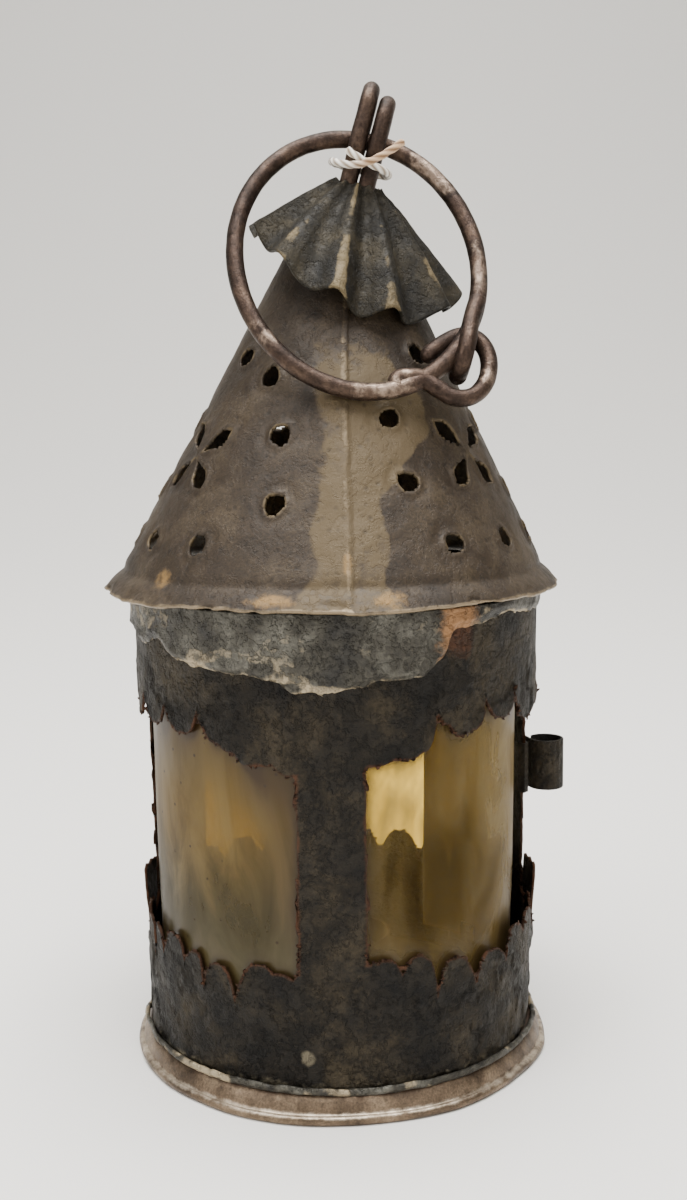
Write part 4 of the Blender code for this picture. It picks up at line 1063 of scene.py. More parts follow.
# ---------------------------------------------------------------- foot and candle holder
@dataclass
class Foot:
    """The shallow pan that the lantern stands on: a floor, a flared skirt and a rolled rim."""

    skirt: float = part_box("base_solder")[1][0] - 1.2 * MM
    rim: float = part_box("base_pan")[1][0]
    floor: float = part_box("base_pan")[1][2]
    sheet: float = 0.6 * MM
    grain: Grain = Grain(37)

    def outline(self) -> Array:
        """Closed outline: round the rolled rim, up the flare, in over the floor and back under it.

        Returns:
            Outline points (radius, height) in metres.
        """
        roll = 0.95 * MM
        turn = np.radians(np.linspace(-90.0, 105.0, 12))
        rim = np.stack([self.rim - roll + roll * np.cos(turn), roll + roll * np.sin(turn)], axis=1)
        flare = np.linspace(0.0, 1.0, 9)[1:, None]
        start, end = rim[-1], np.array([self.skirt, self.floor])
        bow = np.sin(flare * math.pi) * np.array([0.25, 0.35]) * MM
        up = start + (end - start) * flare + bow
        inside = np.array([[self.skirt * 0.6, self.floor], [0.3 * MM, self.floor],
                           [0.3 * MM, self.floor - self.sheet], [self.skirt * 0.6, self.floor - self.sheet],
                           [self.skirt - self.sheet, self.floor - self.sheet],
                           [self.rim - 2.0 * roll, 1.2 * MM], [self.rim - 2.3 * roll, 0.0]])
        return np.vstack([rim, up, inside])

    def wobble(self, points: Array) -> Array:
        """Small dents of the rim, which stays inside its full radius and on the table.

        Args:
            points: places in metres, with x, y and z in the last axis.

        Returns:
            Offsets in metres.
        """
        radius = np.linalg.norm(points[:, :2], axis=1)
        share = smoothstep(radius, self.skirt, self.rim)
        dent = (self.grain.layers(points * np.array([1.0, 1.0, 0.2]), 14.0 * MM, 3) - 0.7) * 0.35 * MM * share
        out = points * np.array([1.0, 1.0, 0.0]) / np.maximum(radius, MM)[:, None]
        lift = np.clip(self.grain.layers(points + 0.5, 20.0 * MM, 2), 0.0, 1.0) * 0.25 * MM * share
        lift = np.where(points[:, 2] < 0.2 * MM, 0.0, lift)
        return dent[:, None] * out + lift[:, None] * np.array([0.0, 0.0, 1.0])

    def build(self, finishes: Finishes) -> None:
        """Build and dress the pan, and dress the candle holder inside.

        Args:
            finishes: the shared materials.
        """
        # The rust mark is grime at the joint with the body, and along the rim's bottom edge it is painted
        # shadow under the roll. The worn mark on the roll's top is partly wear and partly painted highlight.
        marks = {"rust": lambda p: 0.75 * hump(np.linalg.norm(p[:, :2], axis=1), self.skirt, 1.1 * MM)
                 + 0.5 * (1 - smoothstep(p[:, 2], 0.2 * MM, 0.9 * MM)),
                 "worn": lambda p: 0.65 * hump(p[:, 2], 2.0 * MM, 0.9 * MM)}
        pan = lathe("foot_pan", self.outline(), 360, self.wobble, marks)
        dress(pan, finishes.tin, nodes=["base_pan"])
        for node in ("drip_pan", "candle_socket"):
            dress(worn_copy(node, 0.12 * MM), finishes.tin, nodes=[node])


# ---------------------------------------------------------------- panes
@dataclass
class Panes:
    """The horn leaves: two in front inside the wall, one in the door.

    Fields:
        wall: the body wall they are tucked into.
        horn: thickness of a leaf.
        slack: air between a leaf and the sheet beside it.
    """

    wall: BodyWall
    horn: float = 0.7 * MM
    slack: float = 0.4 * MM
    grain: Grain = Grain(51)

    def sprung(self, azimuth: Array) -> Array:
        """How far a front leaf has sprung inwards: a bell beside each rear post."""
        turned = signed(azimuth)
        return np.where(turned > 0, 3.2 * MM * hump(turned, 88.0, 34.0), 1.6 * MM * hump(turned, -84.0, 26.0))

    def front(self, azimuth: Array, height: Array) -> Array:
        """A point of a front leaf's outside, inside the wall by its sheet and the slack, with shallow waves.

        Args:
            azimuth: degrees round the body.
            height: heights in metres.

        Returns:
            Points in metres.
        """
        radius = self.wall.outside(height) - self.wall.sheet - self.slack - self.sprung(azimuth)
        waves = self.grain.layers(polar(radius, azimuth, height * 0.5), 12.0 * MM, 3)
        return polar(radius - (0.18 + 0.16 * waves) * MM, azimuth, height)

    def door(self, azimuth: Array, height: Array) -> Array:
        """A point of the door leaf's outside, just inside the door's frame.

        Args:
            azimuth: degrees round the body.
            height: heights in metres.

        Returns:
            Points in metres.
        """
        radius = self.wall.outside(height) + self.slack + self.horn
        waves = self.grain.layers(polar(radius, azimuth, height * 0.5), 12.0 * MM, 3)
        return polar(radius - (0.05 + 0.05 * waves) * MM, azimuth, height)

    def grime(self, azimuth: Array, height: Array) -> Array:
        """Grime beside the metal, fading into the leaf, and brown stains high on the left leaf.

        Args:
            azimuth: degrees round the body.
            height: heights in metres.

        Returns:
            Amounts from 0 to 1 for the grime mark.
        """
        beside = np.exp(np.clip(self.wall.metal(azimuth, height), -1.0, 0.0) / (1.6 * MM))
        drip = 0.55 * hump(signed(azimuth), -20.0, 9.0) * hump(height, 0.068, 0.007)
        top = 0.75 * hump(signed(azimuth), -58.0, 30.0) * smoothstep(height, 0.060, 0.076)
        top = top + 0.45 * hump(signed(azimuth), -14.0, 8.0) * smoothstep(height, 0.030, 0.045)
        return np.clip(0.75 * beside + drip + top, 0.0, 1.0)

    def veil(self, azimuth: Array, height: Array) -> Array:
        """Clouding of the right leaf's far end, behind the rear post, and a little at its side and foot.

        Args:
            azimuth: degrees round the body.
            height: heights in metres.

        Returns:
            Amounts from 0 to 1 for the veil mark.
        """
        side = 0.30 * smoothstep(signed(azimuth), 34.0, 62.0)
        side = side + 0.25 * (1.0 - smoothstep(height, 0.026, 0.040))
        return np.clip(0.95 * smoothstep(signed(azimuth), 90.0, 98.0) + side, 0.0, 1.0)

    def build(self, finishes: Finishes) -> None:
        """Build and dress the three leaves.

        Args:
            finishes: the shared materials.
        """
        spans = (("horn_left", (-114.0, -3.5), "horn_pane_left", finishes.milky),
                 ("horn_right", (0.5, 149.0), "horn_pane_right", finishes.amber))
        for name, (start, end), node, horn in spans:
            low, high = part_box(node)[0][2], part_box(node)[1][2]
            leaf = Sheet(name, np.linspace(start, end, 150), np.linspace(low, high, 80), self.front,
                         marks={"grime": self.grime, "veil": self.veil}, thickness=self.horn)
            dress(leaf.build(), horn, nodes=[node])
        low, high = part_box("door_pane")
        leaf = Sheet("horn_door", np.linspace(113.9, 232.6, 110), np.linspace(low[2], high[2], 60), self.door,
                     marks={"grime": lambda a, z: 0.25 * np.exp(-(z - low[2]) / (4.0 * MM))},
                     thickness=self.horn)
        dress(leaf.build(), finishes.clear, Rides.DOOR, ["door_pane"])


# ---------------------------------------------------------------- door and small iron
@dataclass
class Door:
    """The rear door's framed leaf, its hinges, its rolled pull, and the keeper strip it shuts against.

    Fields:
        wall: the body wall that the door lies over.
        edges: azimuths of the free edge and of the hinged edge.
        stile, rail: widths of the frame's upright and level strips.
    """

    wall: BodyWall
    edges: tuple[float, float] = (109.0, 237.5)
    low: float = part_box("door_frame")[0][2]
    high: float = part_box("door_frame")[1][2]
    stile: float = 7.0 * MM
    rail: float = 5.5 * MM
    offset: float = 1.5 * MM
    grain: Grain = Grain(61)

    def place(self, azimuth: Array, height: Array) -> Array:
        """A point of the frame's outside: the wall's radius, the offset, the sheet and shallow dents.

        Args:
            azimuth: degrees round the body.
            height: heights in metres.

        Returns:
            Points in metres.
        """
        radius = self.wall.outside(height) + self.offset + self.wall.sheet
        dents = self.grain.layers(polar(radius, azimuth, height), 9.0 * MM, 4)
        return polar(radius + 0.09 * MM * dents, azimuth, height)

    def solid(self, azimuth: Array, height: Array) -> Array:
        """Distance inside the frame: from its outer edges, and from the window with its rounded, cut edge.

        Args:
            azimuth: degrees round the body.
            height: heights in metres.

        Returns:
            Distances in metres, negative outside the frame.
        """
        arc = self.wall.radius * math.pi / 180.0
        side = np.minimum(azimuth - self.edges[0], self.edges[1] - azimuth) * arc
        end = np.minimum(height - self.low, self.high - height)
        outer = np.minimum(side, end) + 0.3 * MM
        window = np.maximum(self.stile - side, self.rail - end)
        ragged = 0.18 * MM * self.grain.layers(polar(self.wall.radius, azimuth, height), 3.0 * MM, 3)
        return np.minimum(outer, window + ragged)

    def build(self, finishes: Finishes) -> None:
        """Build and dress the frame, and dress the hinges, pull and keeper.

        Args:
            finishes: the shared materials.
        """
        frame_sheet = Sheet("door_leaf", np.linspace(self.edges[0], self.edges[1], 200),
                            np.linspace(self.low, self.high, 104), self.place, self.solid,
                            {"rust": lambda a, z: 0.55 * np.exp(-np.clip(self.solid(a, z), 0, 1) / MM)},
                            thickness=self.wall.sheet)
        dress(frame_sheet.build(), finishes.black, Rides.DOOR, ["door_frame"])
        for node in ("door_hinge_lower", "door_hinge_upper"):
            dress(worn_copy(node, 0.10 * MM), finishes.black, Rides.DOOR, [node])
        dress(worn_copy("door_pull", 0.15 * MM), finishes.black, Rides.DOOR, ["door_pull"])
        for node in ("post_hinge_lower", "post_hinge_upper", "door_keeper"):
            dress(worn_copy(node, 0.10 * MM), finishes.black, nodes=[node])
        dress(worn_copy("hinge_pin", 0.10 * MM), finishes.wire, nodes=["hinge_pin"])
        for name in sorted(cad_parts):
            if name.startswith("pane_clip"):
                dress(worn_copy(name, 0.10 * MM), finishes.black, nodes=[name])


# ---------------------------------------------------------------- roof
@dataclass
class Roof:
    """The pierced cone with its crinkled brim, punched holes with raised burrs, and lapped seam.

    Fields:
        eaves, flare: heights of the brim's edge and of the crease above it.
        eaves_radius, flare_radius, mouth_radius: radii at those heights and at the mouth.
        lean, shift: the axis' offset to the right per height, and at the eaves.
        hole: radius of a round hole.
        petal: start, length and half width of a quatrefoil's petal.
        seam: how far right of the middle the lap's edge runs.
    """

    eaves: float = 101.8 * MM
    flare: float = 106.0 * MM
    mouth: float = 174.0 * MM
    eaves_radius: float = 49.3 * MM
    flare_radius: float = 45.0 * MM
    mouth_radius: float = 10.4 * MM
    lean: float = 0.042
    shift: float = -0.8 * MM
    sheet: float = 0.6 * MM
    hole: float = 2.15 * MM
    petal: tuple[float, float, float] = (0.8 * MM, 9.0 * MM, 2.0 * MM)
    seam: float = 3.2 * MM
    grain: Grain = Grain(73)

    def holes(self) -> list[tuple[float, float]]:
        """Azimuth and height of every round hole.

        Returns:
            One (azimuth, height in metres) for each hole.
        """
        places = [(34.7 + 22.0 * k, 11.5) for k in range(14)]
        for azimuth, upper, lower in ((21.0, 35.5, 23.3), (-20.5, 32.5, 19.5), (78.0, 34.5, 20.7),
                                      (142.0, 35.0, 22.5), (208.0, 34.5, 21.5), (-86.0, 35.0, 21.5)):
            places += [(azimuth, upper), (azimuth + 3.0, lower)]
        places += [(azimuth, 48.0) for azimuth in (-53.8, 43.9, 105.0, 165.0, 230.0)]
        places.append((-32.1, 43.8))
        return [(azimuth, self.eaves + rise * MM) for azimuth, rise in places]

    def quatrefoils(self) -> list[tuple[float, float, float]]:
        """Azimuth, height and petal turn of every petal."""
        return [(azimuth, self.eaves + 28.4 * MM, turn) for azimuth in (-58.0, 54.0, 176.0)
                for turn in (35.0, 132.0, 225.0, 313.0)]

    def radius(self, height: Array) -> Array:
        """Radius at a height: straight from the eaves to the crease and from the crease to the mouth."""
        return np.interp(height, [self.eaves, self.flare, self.mouth],
                         [self.eaves_radius, self.flare_radius, self.mouth_radius])

    def axis(self, height: Array) -> Array:
        """How far right the roof's axis is at a height."""
        return self.shift + self.lean * (height - self.eaves)

    def local(self, azimuth: Array, height: Array, centre: tuple[float, float]) -> tuple[Array, Array]:
        """Distances right of and up the slope from a centre on the cone, in metres.

        Args:
            azimuth: degrees round the roof.
            height: heights in metres.
            centre: azimuth and height of the centre.

        Returns:
            The two distances in metres.
        """
        slope = (self.flare_radius - self.mouth_radius) / (self.mouth - self.flare)
        right = np.radians(signed(azimuth - centre[0])) * self.radius(height)
        return right, (height - centre[1]) * math.hypot(1.0, slope)

    def pierced(self, azimuth: Array, height: Array) -> Array:
        """Distance from the nearest hole's edge, positive in the metal.

        A round hole is |d| - r with a slightly uneven r. A petal is a teardrop: |across| minus a half width
        that follows the sine of pi times s^1.7 along it, widest past its middle.

        Args:
            azimuth: degrees round the roof.
            height: heights in metres.

        Returns:
            Distances in metres.
        """
        best = np.full(np.shape(height), 1.0)
        for n, centre in enumerate(self.holes()):
            right, up = self.local(azimuth, height, centre)
            turn = np.arctan2(up, right)
            uneven = self.hole * (1.0 + 0.06 * np.cos(2 * turn + 1.7 * n) + 0.04 * np.cos(3 * turn + 2.9 * n))
            best = np.minimum(best, np.hypot(right, up) - uneven)
        start, length, half = self.petal
        for n, (middle, level, turn) in enumerate(self.quatrefoils()):
            right, up = self.local(azimuth, height, (middle, level))
            bearing = math.radians(turn)
            along = right * math.cos(bearing) + up * math.sin(bearing) - start
            across = -right * math.sin(bearing) + up * math.cos(bearing)
            share = np.clip(along / length, 0.0, 1.0)
            width = half * np.sin(math.pi * share ** 1.7) ** 0.85
            beyond = np.maximum(-along, along - length)
            best = np.minimum(best, np.where(beyond > 0, np.hypot(beyond, across), np.abs(across) - width))
        return best

    def lap(self, azimuth: Array, height: Array) -> Array:
        """Lift of the lapped seam: a ramp to the overlapping edge, then a step down.

        Args:
            azimuth: degrees round the roof.
            height: heights in metres.

        Returns:
            Shares of the lift, 0 to 1.
        """
        x = self.radius(height) * np.sin(np.radians(signed(azimuth))) + self.axis(height)
        x = x + 0.35 * MM * self.grain.layers(polar(0.0 * height + 0.01, 0.0 * height, height), 9.0 * MM, 3)
        front = np.abs(signed(azimuth)) < 60.0
        ramp = smoothstep(x, self.seam - 6.0 * MM, self.seam)
        ramp = ramp * (1.0 - smoothstep(x, self.seam, self.seam + 0.35 * MM))
        return np.where(front, ramp, 0.0)

    def place(self, azimuth: Array, height: Array) -> Array:
        """A point of the outside: the leaning cone with dents, burrs, the lap and the brim's crinkles.

        Args:
            azimuth: degrees round the roof.
            height: heights in metres.

        Returns:
            Points in metres.
        """
        base = polar(self.radius(height), azimuth, height)
        gap = self.pierced(azimuth, height)
        dents = 0.22 * self.grain.layers(base, 15.0 * MM, 3) + 0.05 * self.grain.layers(base, 2.0 * MM, 3)
        burr = 0.42 * hump(gap, 0.15 * MM, 0.45 * MM) * (0.70 + 0.60 * self.grain.layers(base, 2.5 * MM, 2))
        dish = -0.28 * hump(gap, 1.6 * MM, 1.1 * MM)
        brim = 1.0 - smoothstep(height, self.eaves, self.flare)
        crinkle = self.grain.layers(base * np.array([1.0, 1.0, 0.0]), 7.0 * MM, 3)
        bites = smoothstep(self.grain.layers(base * np.array([1.0, 1.0, 0.0]) + 0.2, 4.0 * MM, 3), 0.25, 0.8)
        out = (dents + burr + dish) * MM + 0.45 * MM * self.lap(azimuth, height)
        out = out * (1.0 - brim) - (0.55 + 0.45 * crinkle + 0.7 * bites) * MM * brim ** 2
        rise = (0.35 * crinkle + 0.15) * MM * brim ** 2
        lip = 0.4 * MM * hump(height, self.flare, 1.2 * MM)
        points = polar(self.radius(height) + out - lip, azimuth, height + rise + self.sheet * 0.3 * brim)
        points[..., 0] += self.axis(height)
        return points

    def across(self, azimuth: Array, height: Array) -> Array:
        """How far right of the middle a point is, roughened so that stains have soft, uneven edges.

        Args:
            azimuth: degrees round the roof.
            height: heights in metres.

        Returns:
            Distances in metres, and 1 m all over the back, which no stain reaches.
        """
        x = self.radius(height) * np.sin(np.radians(signed(azimuth))) + self.axis(height)
        rough = self.grain.layers(polar(self.radius(height), azimuth, height), 8.0 * MM, 4)
        return np.where(np.abs(signed(azimuth)) < 90.0, x + 1.3 * MM * rough, 1.0)

    def pale(self, azimuth: Array, height: Array) -> Array:
        """Tan-grey stain down the seam, widest right of it in the middle, and bare metal on the burrs.

        Args:
            azimuth: degrees round the roof.
            height: heights in metres.

        Returns:
            Amounts for the pale mark.
        """
        x = self.across(azimuth, height) / MM
        rise = (height - self.eaves) / MM
        left = np.interp(rise, [0.0, 6.0, 20.0, 33.0, 48.0, 60.0], [-8.7, -5.0, -3.2, -2.2, -5.0, -7.0])
        right = np.interp(rise, [0.0, 5.0, 12.0, 20.0, 25.0, 33.0, 40.0, 47.0, 60.0],
                          [15.4, 9.5, 11.0, 9.5, 14.0, 18.5, 17.0, 12.0, 8.0])
        band = smoothstep(x, left - 1.8, left + 1.8) * (1.0 - smoothstep(x, right - 1.2, right + 1.2))
        upper = 1.0 - smoothstep(rise, 44.0, 62.0)
        ragged = 0.75 + 0.7 * self.grain.layers(polar(self.radius(height), azimuth, height), 2.5 * MM, 2)
        edge = hump(self.pierced(azimuth, height), 0.1 * MM, 0.42 * MM) * ragged
        blots = self.grain.layers(polar(self.radius(height), azimuth, height) + 0.4, 18.0 * MM, 3)
        return 0.62 * band * upper + 0.70 * edge + 0.30 * smoothstep(blots, 0.2, 0.9)

    def rust(self, azimuth: Array, height: Array) -> Array:
        """Ochre patches on the brim and beside the seam's foot.

        Args:
            azimuth: degrees round the roof.
            height: heights in metres.

        Returns:
            Amounts for the rust mark.
        """
        turned, rise = signed(azimuth), (height - self.eaves) / MM
        total = np.zeros(np.shape(height))
        patches = ((-48.0, 5.0, 6.0, 3.0, 0.62), (-14.0, 1.8, 9.0, 2.2, 0.66), (13.5, 2.0, 7.0, 2.6, 0.64),
                   (4.0, 9.0, 2.2, 4.0, 0.6), (150.0, 3.0, 9.0, 2.5, 0.6), (-120.0, 4.0, 7.0, 2.5, 0.6))
        for middle, level, wide, tall, strength in patches:
            total += strength * hump(turned, middle, wide) * hump(rise, level, tall)
        return total

    def worn(self, azimuth: Array, height: Array) -> Array:
        """Bare metal on the brim's very edge and along the lap."""
        return 0.75 * (1.0 - smoothstep(height, self.eaves, self.eaves + 1.0 * MM)) \
            + 0.55 * hump(self.lap(azimuth, height), 0.95, 0.12)

    def build(self, finishes: Finishes) -> None:
        """Build and dress the roof sheet.

        Args:
            finishes: the shared materials.
        """
        brim = np.linspace(self.eaves, self.flare, 14)[:-1]
        slope = np.linspace(self.flare, self.mouth, 116)
        around = np.concatenate([np.arange(-92.0, 92.0, 0.75), np.arange(92.0, 268.0, 1.375)])
        marks = {"pale": self.pale, "rust": self.rust, "worn": self.worn}
        sheet = Sheet("roof_sheet", around, np.concatenate([brim, slope]), self.place, self.pierced, marks,
                      closed=True, thickness=self.sheet)
        dress(sheet.build(), finishes.roof, nodes=["roof_cone"])


# ---------------------------------------------------------------- cap, eye, ring and string
@dataclass
class Finial:
    """The pleated smoke cap, the doubled wire eye, the carrying ring and the string, tilted together.

    Fields:
        roof: the cone that they stand on.
        tilt: lean to the right, in degrees.
        wire: diameter of the eye's and the ring's wire.
        apex, hinge: the cap's apex and the ring's hinge, above the roof's mouth.
        slant: distance from the cap's apex to its rim: at the back, more at the front, more at the right.
        ring_half: half the width and half the height of the ring's plain curve, in mm.
        ring_aside, ring_skew: how far right its middle is, in mm, and its lean for each mm of height.
        flutes, depth: number and depth of the cap's pleats.
        droop, sag: how far the front rim bends down and in, and the left rim hangs down.
    """

    roof: Roof
    tilt: float = 15.3
    wire: float = 3.6 * MM
    apex: tuple[float, float, float] = (0.4 * MM, -2.5 * MM, 15.7 * MM)
    hinge: tuple[float, float, float] = (0.4 * MM, -2.5 * MM, 20.5 * MM)
    slant: tuple[float, float, float] = (29.2 * MM, 6.2 * MM, 3.8 * MM)
    half_angle: float = 51.0
    flutes: int = 11
    depth: float = 2.1 * MM
    droop: float = 3.2 * MM
    sag: float = 3.6 * MM
    front_turn: float = 20.0
    ring_half: tuple[float, float] = (25.0, 28.4)
    ring_aside: float = 4.2
    ring_skew: float = 0.10
    grain: Grain = Grain(89)

    def stand(self) -> Matrix:
        """The tilted frame on the roof's mouth."""
        mouth = (float(self.roof.axis(self.roof.mouth)), 0.0, self.roof.mouth)
        return Matrix.Translation(mouth) @ Euler((0.0, math.radians(self.tilt), 0.0)).to_matrix().to_4x4()

    def pleated(self, turn: Array, share: Array) -> Array:
        """A point of the cap: a cone whose distance from its slope follows its pleats.

        The pleats are a cosine made sharper on the ridges, with uneven spacing and depth, growing with the
        distance from the apex. The front droops with the square of that distance.

        Args:
            turn: degrees round the cap's axis.
            share: 0 at the eye's legs and 1 at the rim.

        Returns:
            Points in metres, in the lantern's frame.
        """
        bearing = np.radians(turn)
        facing = np.clip(np.cos(np.radians(turn - self.front_turn)), 0.0, 1.0) ** 1.5
        rim = self.slant[0] + self.slant[1] * facing + self.slant[2] * np.sin(bearing)
        around = np.stack([np.sin(bearing), np.cos(bearing), 0.0 * bearing], axis=-1)
        rim = rim + (0.5 * self.grain.layers(around, 0.35, 3) - 0.4) * MM
        start = 6.2 * MM
        slant = start + (rim - start) * share
        reach = slant / self.slant[0]
        warp = 5.0 * self.grain.value(around * 1.7 + 3.0)
        wave = np.cos(np.radians(self.flutes * (turn + warp * share)))
        sharp = np.sign(wave) * np.abs(wave) ** np.where(wave > 0, 1.15, 0.75)
        deep = self.depth * (1.0 + 0.25 * self.grain.value(around * 2.3 + 7.0))
        half = math.radians(self.half_angle)
        place = np.stack([slant * np.sin(bearing), slant * np.cos(bearing), slant * 0.4], axis=-1)
        crumple = 0.16 * MM * self.grain.layers(place, 4.5 * MM, 3) * (1.0 + 1.6 * hump(share, 0.0, 0.25))
        ripple = deep * reach * (0.2 + 0.8 * sharp) + crumple
        bent = self.droop * facing * reach ** 2
        hung = self.sag * np.clip(-np.sin(bearing), 0.0, 1.0) * reach ** 2
        radius = slant * math.sin(half) + ripple * math.cos(half) - bent
        drop = slant * math.cos(half) - ripple * math.sin(half) + bent + hung
        nod = Euler((math.radians(6.0), math.radians(-1.0), 0.0)).to_matrix().to_4x4()
        seat = Matrix.Translation(self.apex) @ nod
        return placed(polar(radius, turn, -drop), self.stand() @ seat)

    def ridge_wear_and_highlight(self, turn: Array, share: Array) -> Array:
        """Pale on the pleats' ridges and at the rim: partly wear, partly painted highlight. It is strongest
        on the front right, where the light falls, and fades to painted shade at the left and back.

        Args:
            turn: degrees round the cap.
            share: how far down from the apex, 0 to 1.

        Returns:
            Amounts for the pale mark.
        """
        bearing = np.radians(turn)
        around = np.stack([np.sin(bearing), np.cos(bearing), 0.0 * bearing], axis=-1)
        warp = 5.0 * self.grain.value(around * 1.7 + 3.0)
        wave = np.cos(np.radians(self.flutes * (turn + warp * (1.0 - share))))
        # lit is painted light: it keeps the pale ridges bright on the front right and dims them at the left
        # and back as painted shade.
        lit = 0.10 + 0.90 * smoothstep(np.cos(bearing - 0.35), -0.1, 0.8)
        rubbed = self.grain.layers(np.stack([around[..., 0], around[..., 1], share], axis=-1), 0.3, 3)
        lit = lit * (0.8 + 0.9 * rubbed)
        return (0.55 * smoothstep(wave, 0.45, 1.0) + 0.30 * smoothstep(1.0 - share, 0.95, 1.0)) * lit

    def build_cap(self, finishes: Finishes) -> None:
        """Build and dress the cap, its rows running from the rim up so that it faces out.

        Args:
            finishes: the shared materials.
        """
        cap = Sheet("pleated_cap", np.linspace(0.0, 360.0, 440, endpoint=False), np.linspace(0.0, 1.0, 60),
                    lambda turn, up: self.pleated(turn, 1.0 - up), marks={"pale": self.ridge_wear_and_highlight}, closed=True,
                    thickness=self.roof.sheet)
        dress(cap.build(), finishes.cap, nodes=["smoke_cap"])

    def hammered(self, path: Array, sides: int, seed: int) -> Array:
        """Radius of a forged wire: nearly even, with shallow flats, and rounded off at its two ends.

        Args:
            path: centre line.
            sides: points round the wire.
            seed: picks the noise.

        Returns:
            Radius at each path point and side.
        """
        turn = np.linspace(0.0, 2.0 * math.pi, sides, endpoint=False)
        around = 0.9 * MM * np.stack([np.cos(turn), np.sin(turn), 0.0 * turn], axis=1)
        flats = Grain(seed).layers(path[:, None] + around[None], 3.0 * MM, 2)
        steps = np.linalg.norm(np.diff(path, axis=0), axis=1)
        run = np.concatenate([[0.0], np.cumsum(steps)])
        end = np.clip(np.minimum(run, run[-1] - run) / (0.5 * self.wire), 0.04, 1.0)
        return 0.5 * self.wire * (0.975 + 0.03 * flats) * np.sqrt(end * (2.0 - end))[:, None]

    def eye_line(self) -> Array:
        """Centre line of the eye's wire: up and over the left bow, across below, up and over the right bow.

        Returns:
            Points in metres from the ring's hinge.
        """
        apart, wide, near, leg = 1.95 * MM, 4.5 * MM, 2.05 * MM, 15.0 * MM
        turn = np.linspace(0.0, math.pi, 9)
        bows = []
        for side, rise in ((-apart, 10.0 * MM), (apart, 8.1 * MM)):
            arch = np.stack([side + 0.0 * turn, -wide * np.cos(turn), rise - wide + wide * np.sin(turn)],
                            axis=1)
            down = [(side, -near, -0.75 * leg), (side, -near, -7.0 * MM), (side, -near - MM, -4.5 * MM),
                    (side, -wide, -MM)]
            back = [(side, wide, -MM), (side, near + MM, -4.5 * MM), (side, near, -7.0 * MM),
                    (side, near, -leg)]
            bows.append(np.vstack([down, arch, back]))
        bend = np.linspace(0.0, math.pi, 7)[1:-1]
        under = np.stack([-apart * np.cos(bend), near + 0.0 * bend, -leg - apart * np.sin(bend)], axis=1)
        return np.vstack([bows[0], under, bows[1][::-1]])

    def build_eye(self, finishes: Finishes) -> None:
        """Build and dress the eye.

        Args:
            finishes: the shared materials.
        """
        line = spline(self.eye_line(), 240)
        path = placed(line, self.stand() @ Matrix.Translation(self.hinge))
        radius = self.hammered(path, 20, 5)
        worn = np.repeat(0.42 * smoothstep(line[:, 2], 2.0 * MM, 9.0 * MM), 20)
        eye = tube("wire_eye", path, radius, self.stand().to_3x3().col[0], 20, {"worn": worn})
        dress(eye, finishes.wire, nodes=["top_eye"])

    def ring_line(self) -> Array:
        """Centre line of the ring in its own plane: the small closing loop, the plain curve and the hook.

        The plain curve is a circle stretched to ring_half and skewed a little with its height.

        Returns:
            Points in metres from the ring's hinge, in its own plane.
        """
        loop = np.array([(21.5, 1.8, -45.2), (24.3, 1.8, -40.9), (27.5, 1.8, -37.9), (30.7, 1.6, -37.6),
                         (33.3, 1.2, -39.9), (34.6, 0.8, -43.8), (34.3, 0.4, -48.0), (32.3, 0.1, -51.3),
                         (28.8, 0.0, -52.5), (25.0, 0.0, -51.3), (21.3, 0.0, -50.2), (17.6, 0.0, -51.6)])
        half_wide, half_high = self.ring_half
        turn = np.radians(np.linspace(152.0, 93.0 - 360.0, 35))
        drop = half_high * (1.0 - np.cos(turn))
        right = self.ring_aside + half_wide * np.sin(turn) + self.ring_skew * (drop - half_high)
        plain = np.stack([right, 0.0 * turn, -drop], axis=1)
        hook = np.array([(28.9, -1.2, -35.5), (29.0, -2.2, -39.8), (29.1, -1.8, -43.8), (29.1, 1.8, -46.4),
                         (29.0, 5.4, -43.8), (28.8, 6.1, -39.5), (28.6, 6.0, -35.5)])
        return np.vstack([loop, plain, hook]) * MM

    def lean(self) -> float:
        """Angle at which the ring rests on the front of the roof, from the CAD ring's lowest front point.

        Returns:
            The angle in radians.
        """
        tilt = math.radians(self.tilt)
        slope = (self.roof.flare_radius - self.roof.mouth_radius) / (self.roof.mouth - self.roof.flare)
        pivot = self.roof.mouth + self.hinge[2] * math.cos(tilt) - self.hinge[0] * math.sin(tilt)
        clear = (0.5 * self.wire + 0.4 * MM) * math.hypot(1.0, slope)
        half_high = self.ring_half[1] * MM
        aside = self.ring_aside * MM + self.ring_skew * half_high
        level = self.roof.flare_radius - slope * (pivot - aside * math.sin(tilt) - self.roof.flare) \
            + clear + self.hinge[1]
        pull = slope * math.cos(tilt)
        return math.asin(level / (math.hypot(1.0, pull) * 2 * half_high)) + math.atan(pull)

    def build_ring(self, finishes: Finishes) -> None:
        """Build and dress the ring, polished where hands hold it, and paler on the wire's front side as
        painted highlight.

        Args:
            finishes: the shared materials.
        """
        swung = Euler((-self.lean(), 0.0, 0.0)).to_matrix().to_4x4()
        hang = self.stand() @ Matrix.Translation(self.hinge) @ swung
        line = spline(self.ring_line(), 520)
        path = placed(line, hang)
        sides = 22
        radius = self.hammered(path, sides, 8)
        turn = np.linspace(0.0, 2.0 * math.pi, sides, endpoint=False)
        # The cosine of the turn round the wire makes its front side paler: painted highlight, on top of the
        # rubbed patches.
        rubbed = self.grain.layers(path, 11.0 * MM, 3)[:, None] + 0.35 * np.cos(turn)[None]
        worn = 0.62 * smoothstep(rubbed, 0.0, 0.9).ravel()
        ring = tube("wire_ring", path, radius, hang.to_3x3().col[1] * -1.0, sides, {"worn": worn})
        dress(ring, finishes.wire, Rides.RING, ["carry_ring"])

    def build(self, finishes: Finishes) -> None:
        """Build the cap, the eye and the ring.

        Args:
            finishes: the shared materials.
        """
        self.build_cap(finishes)
        self.build_eye(finishes)
        self.build_ring(finishes)


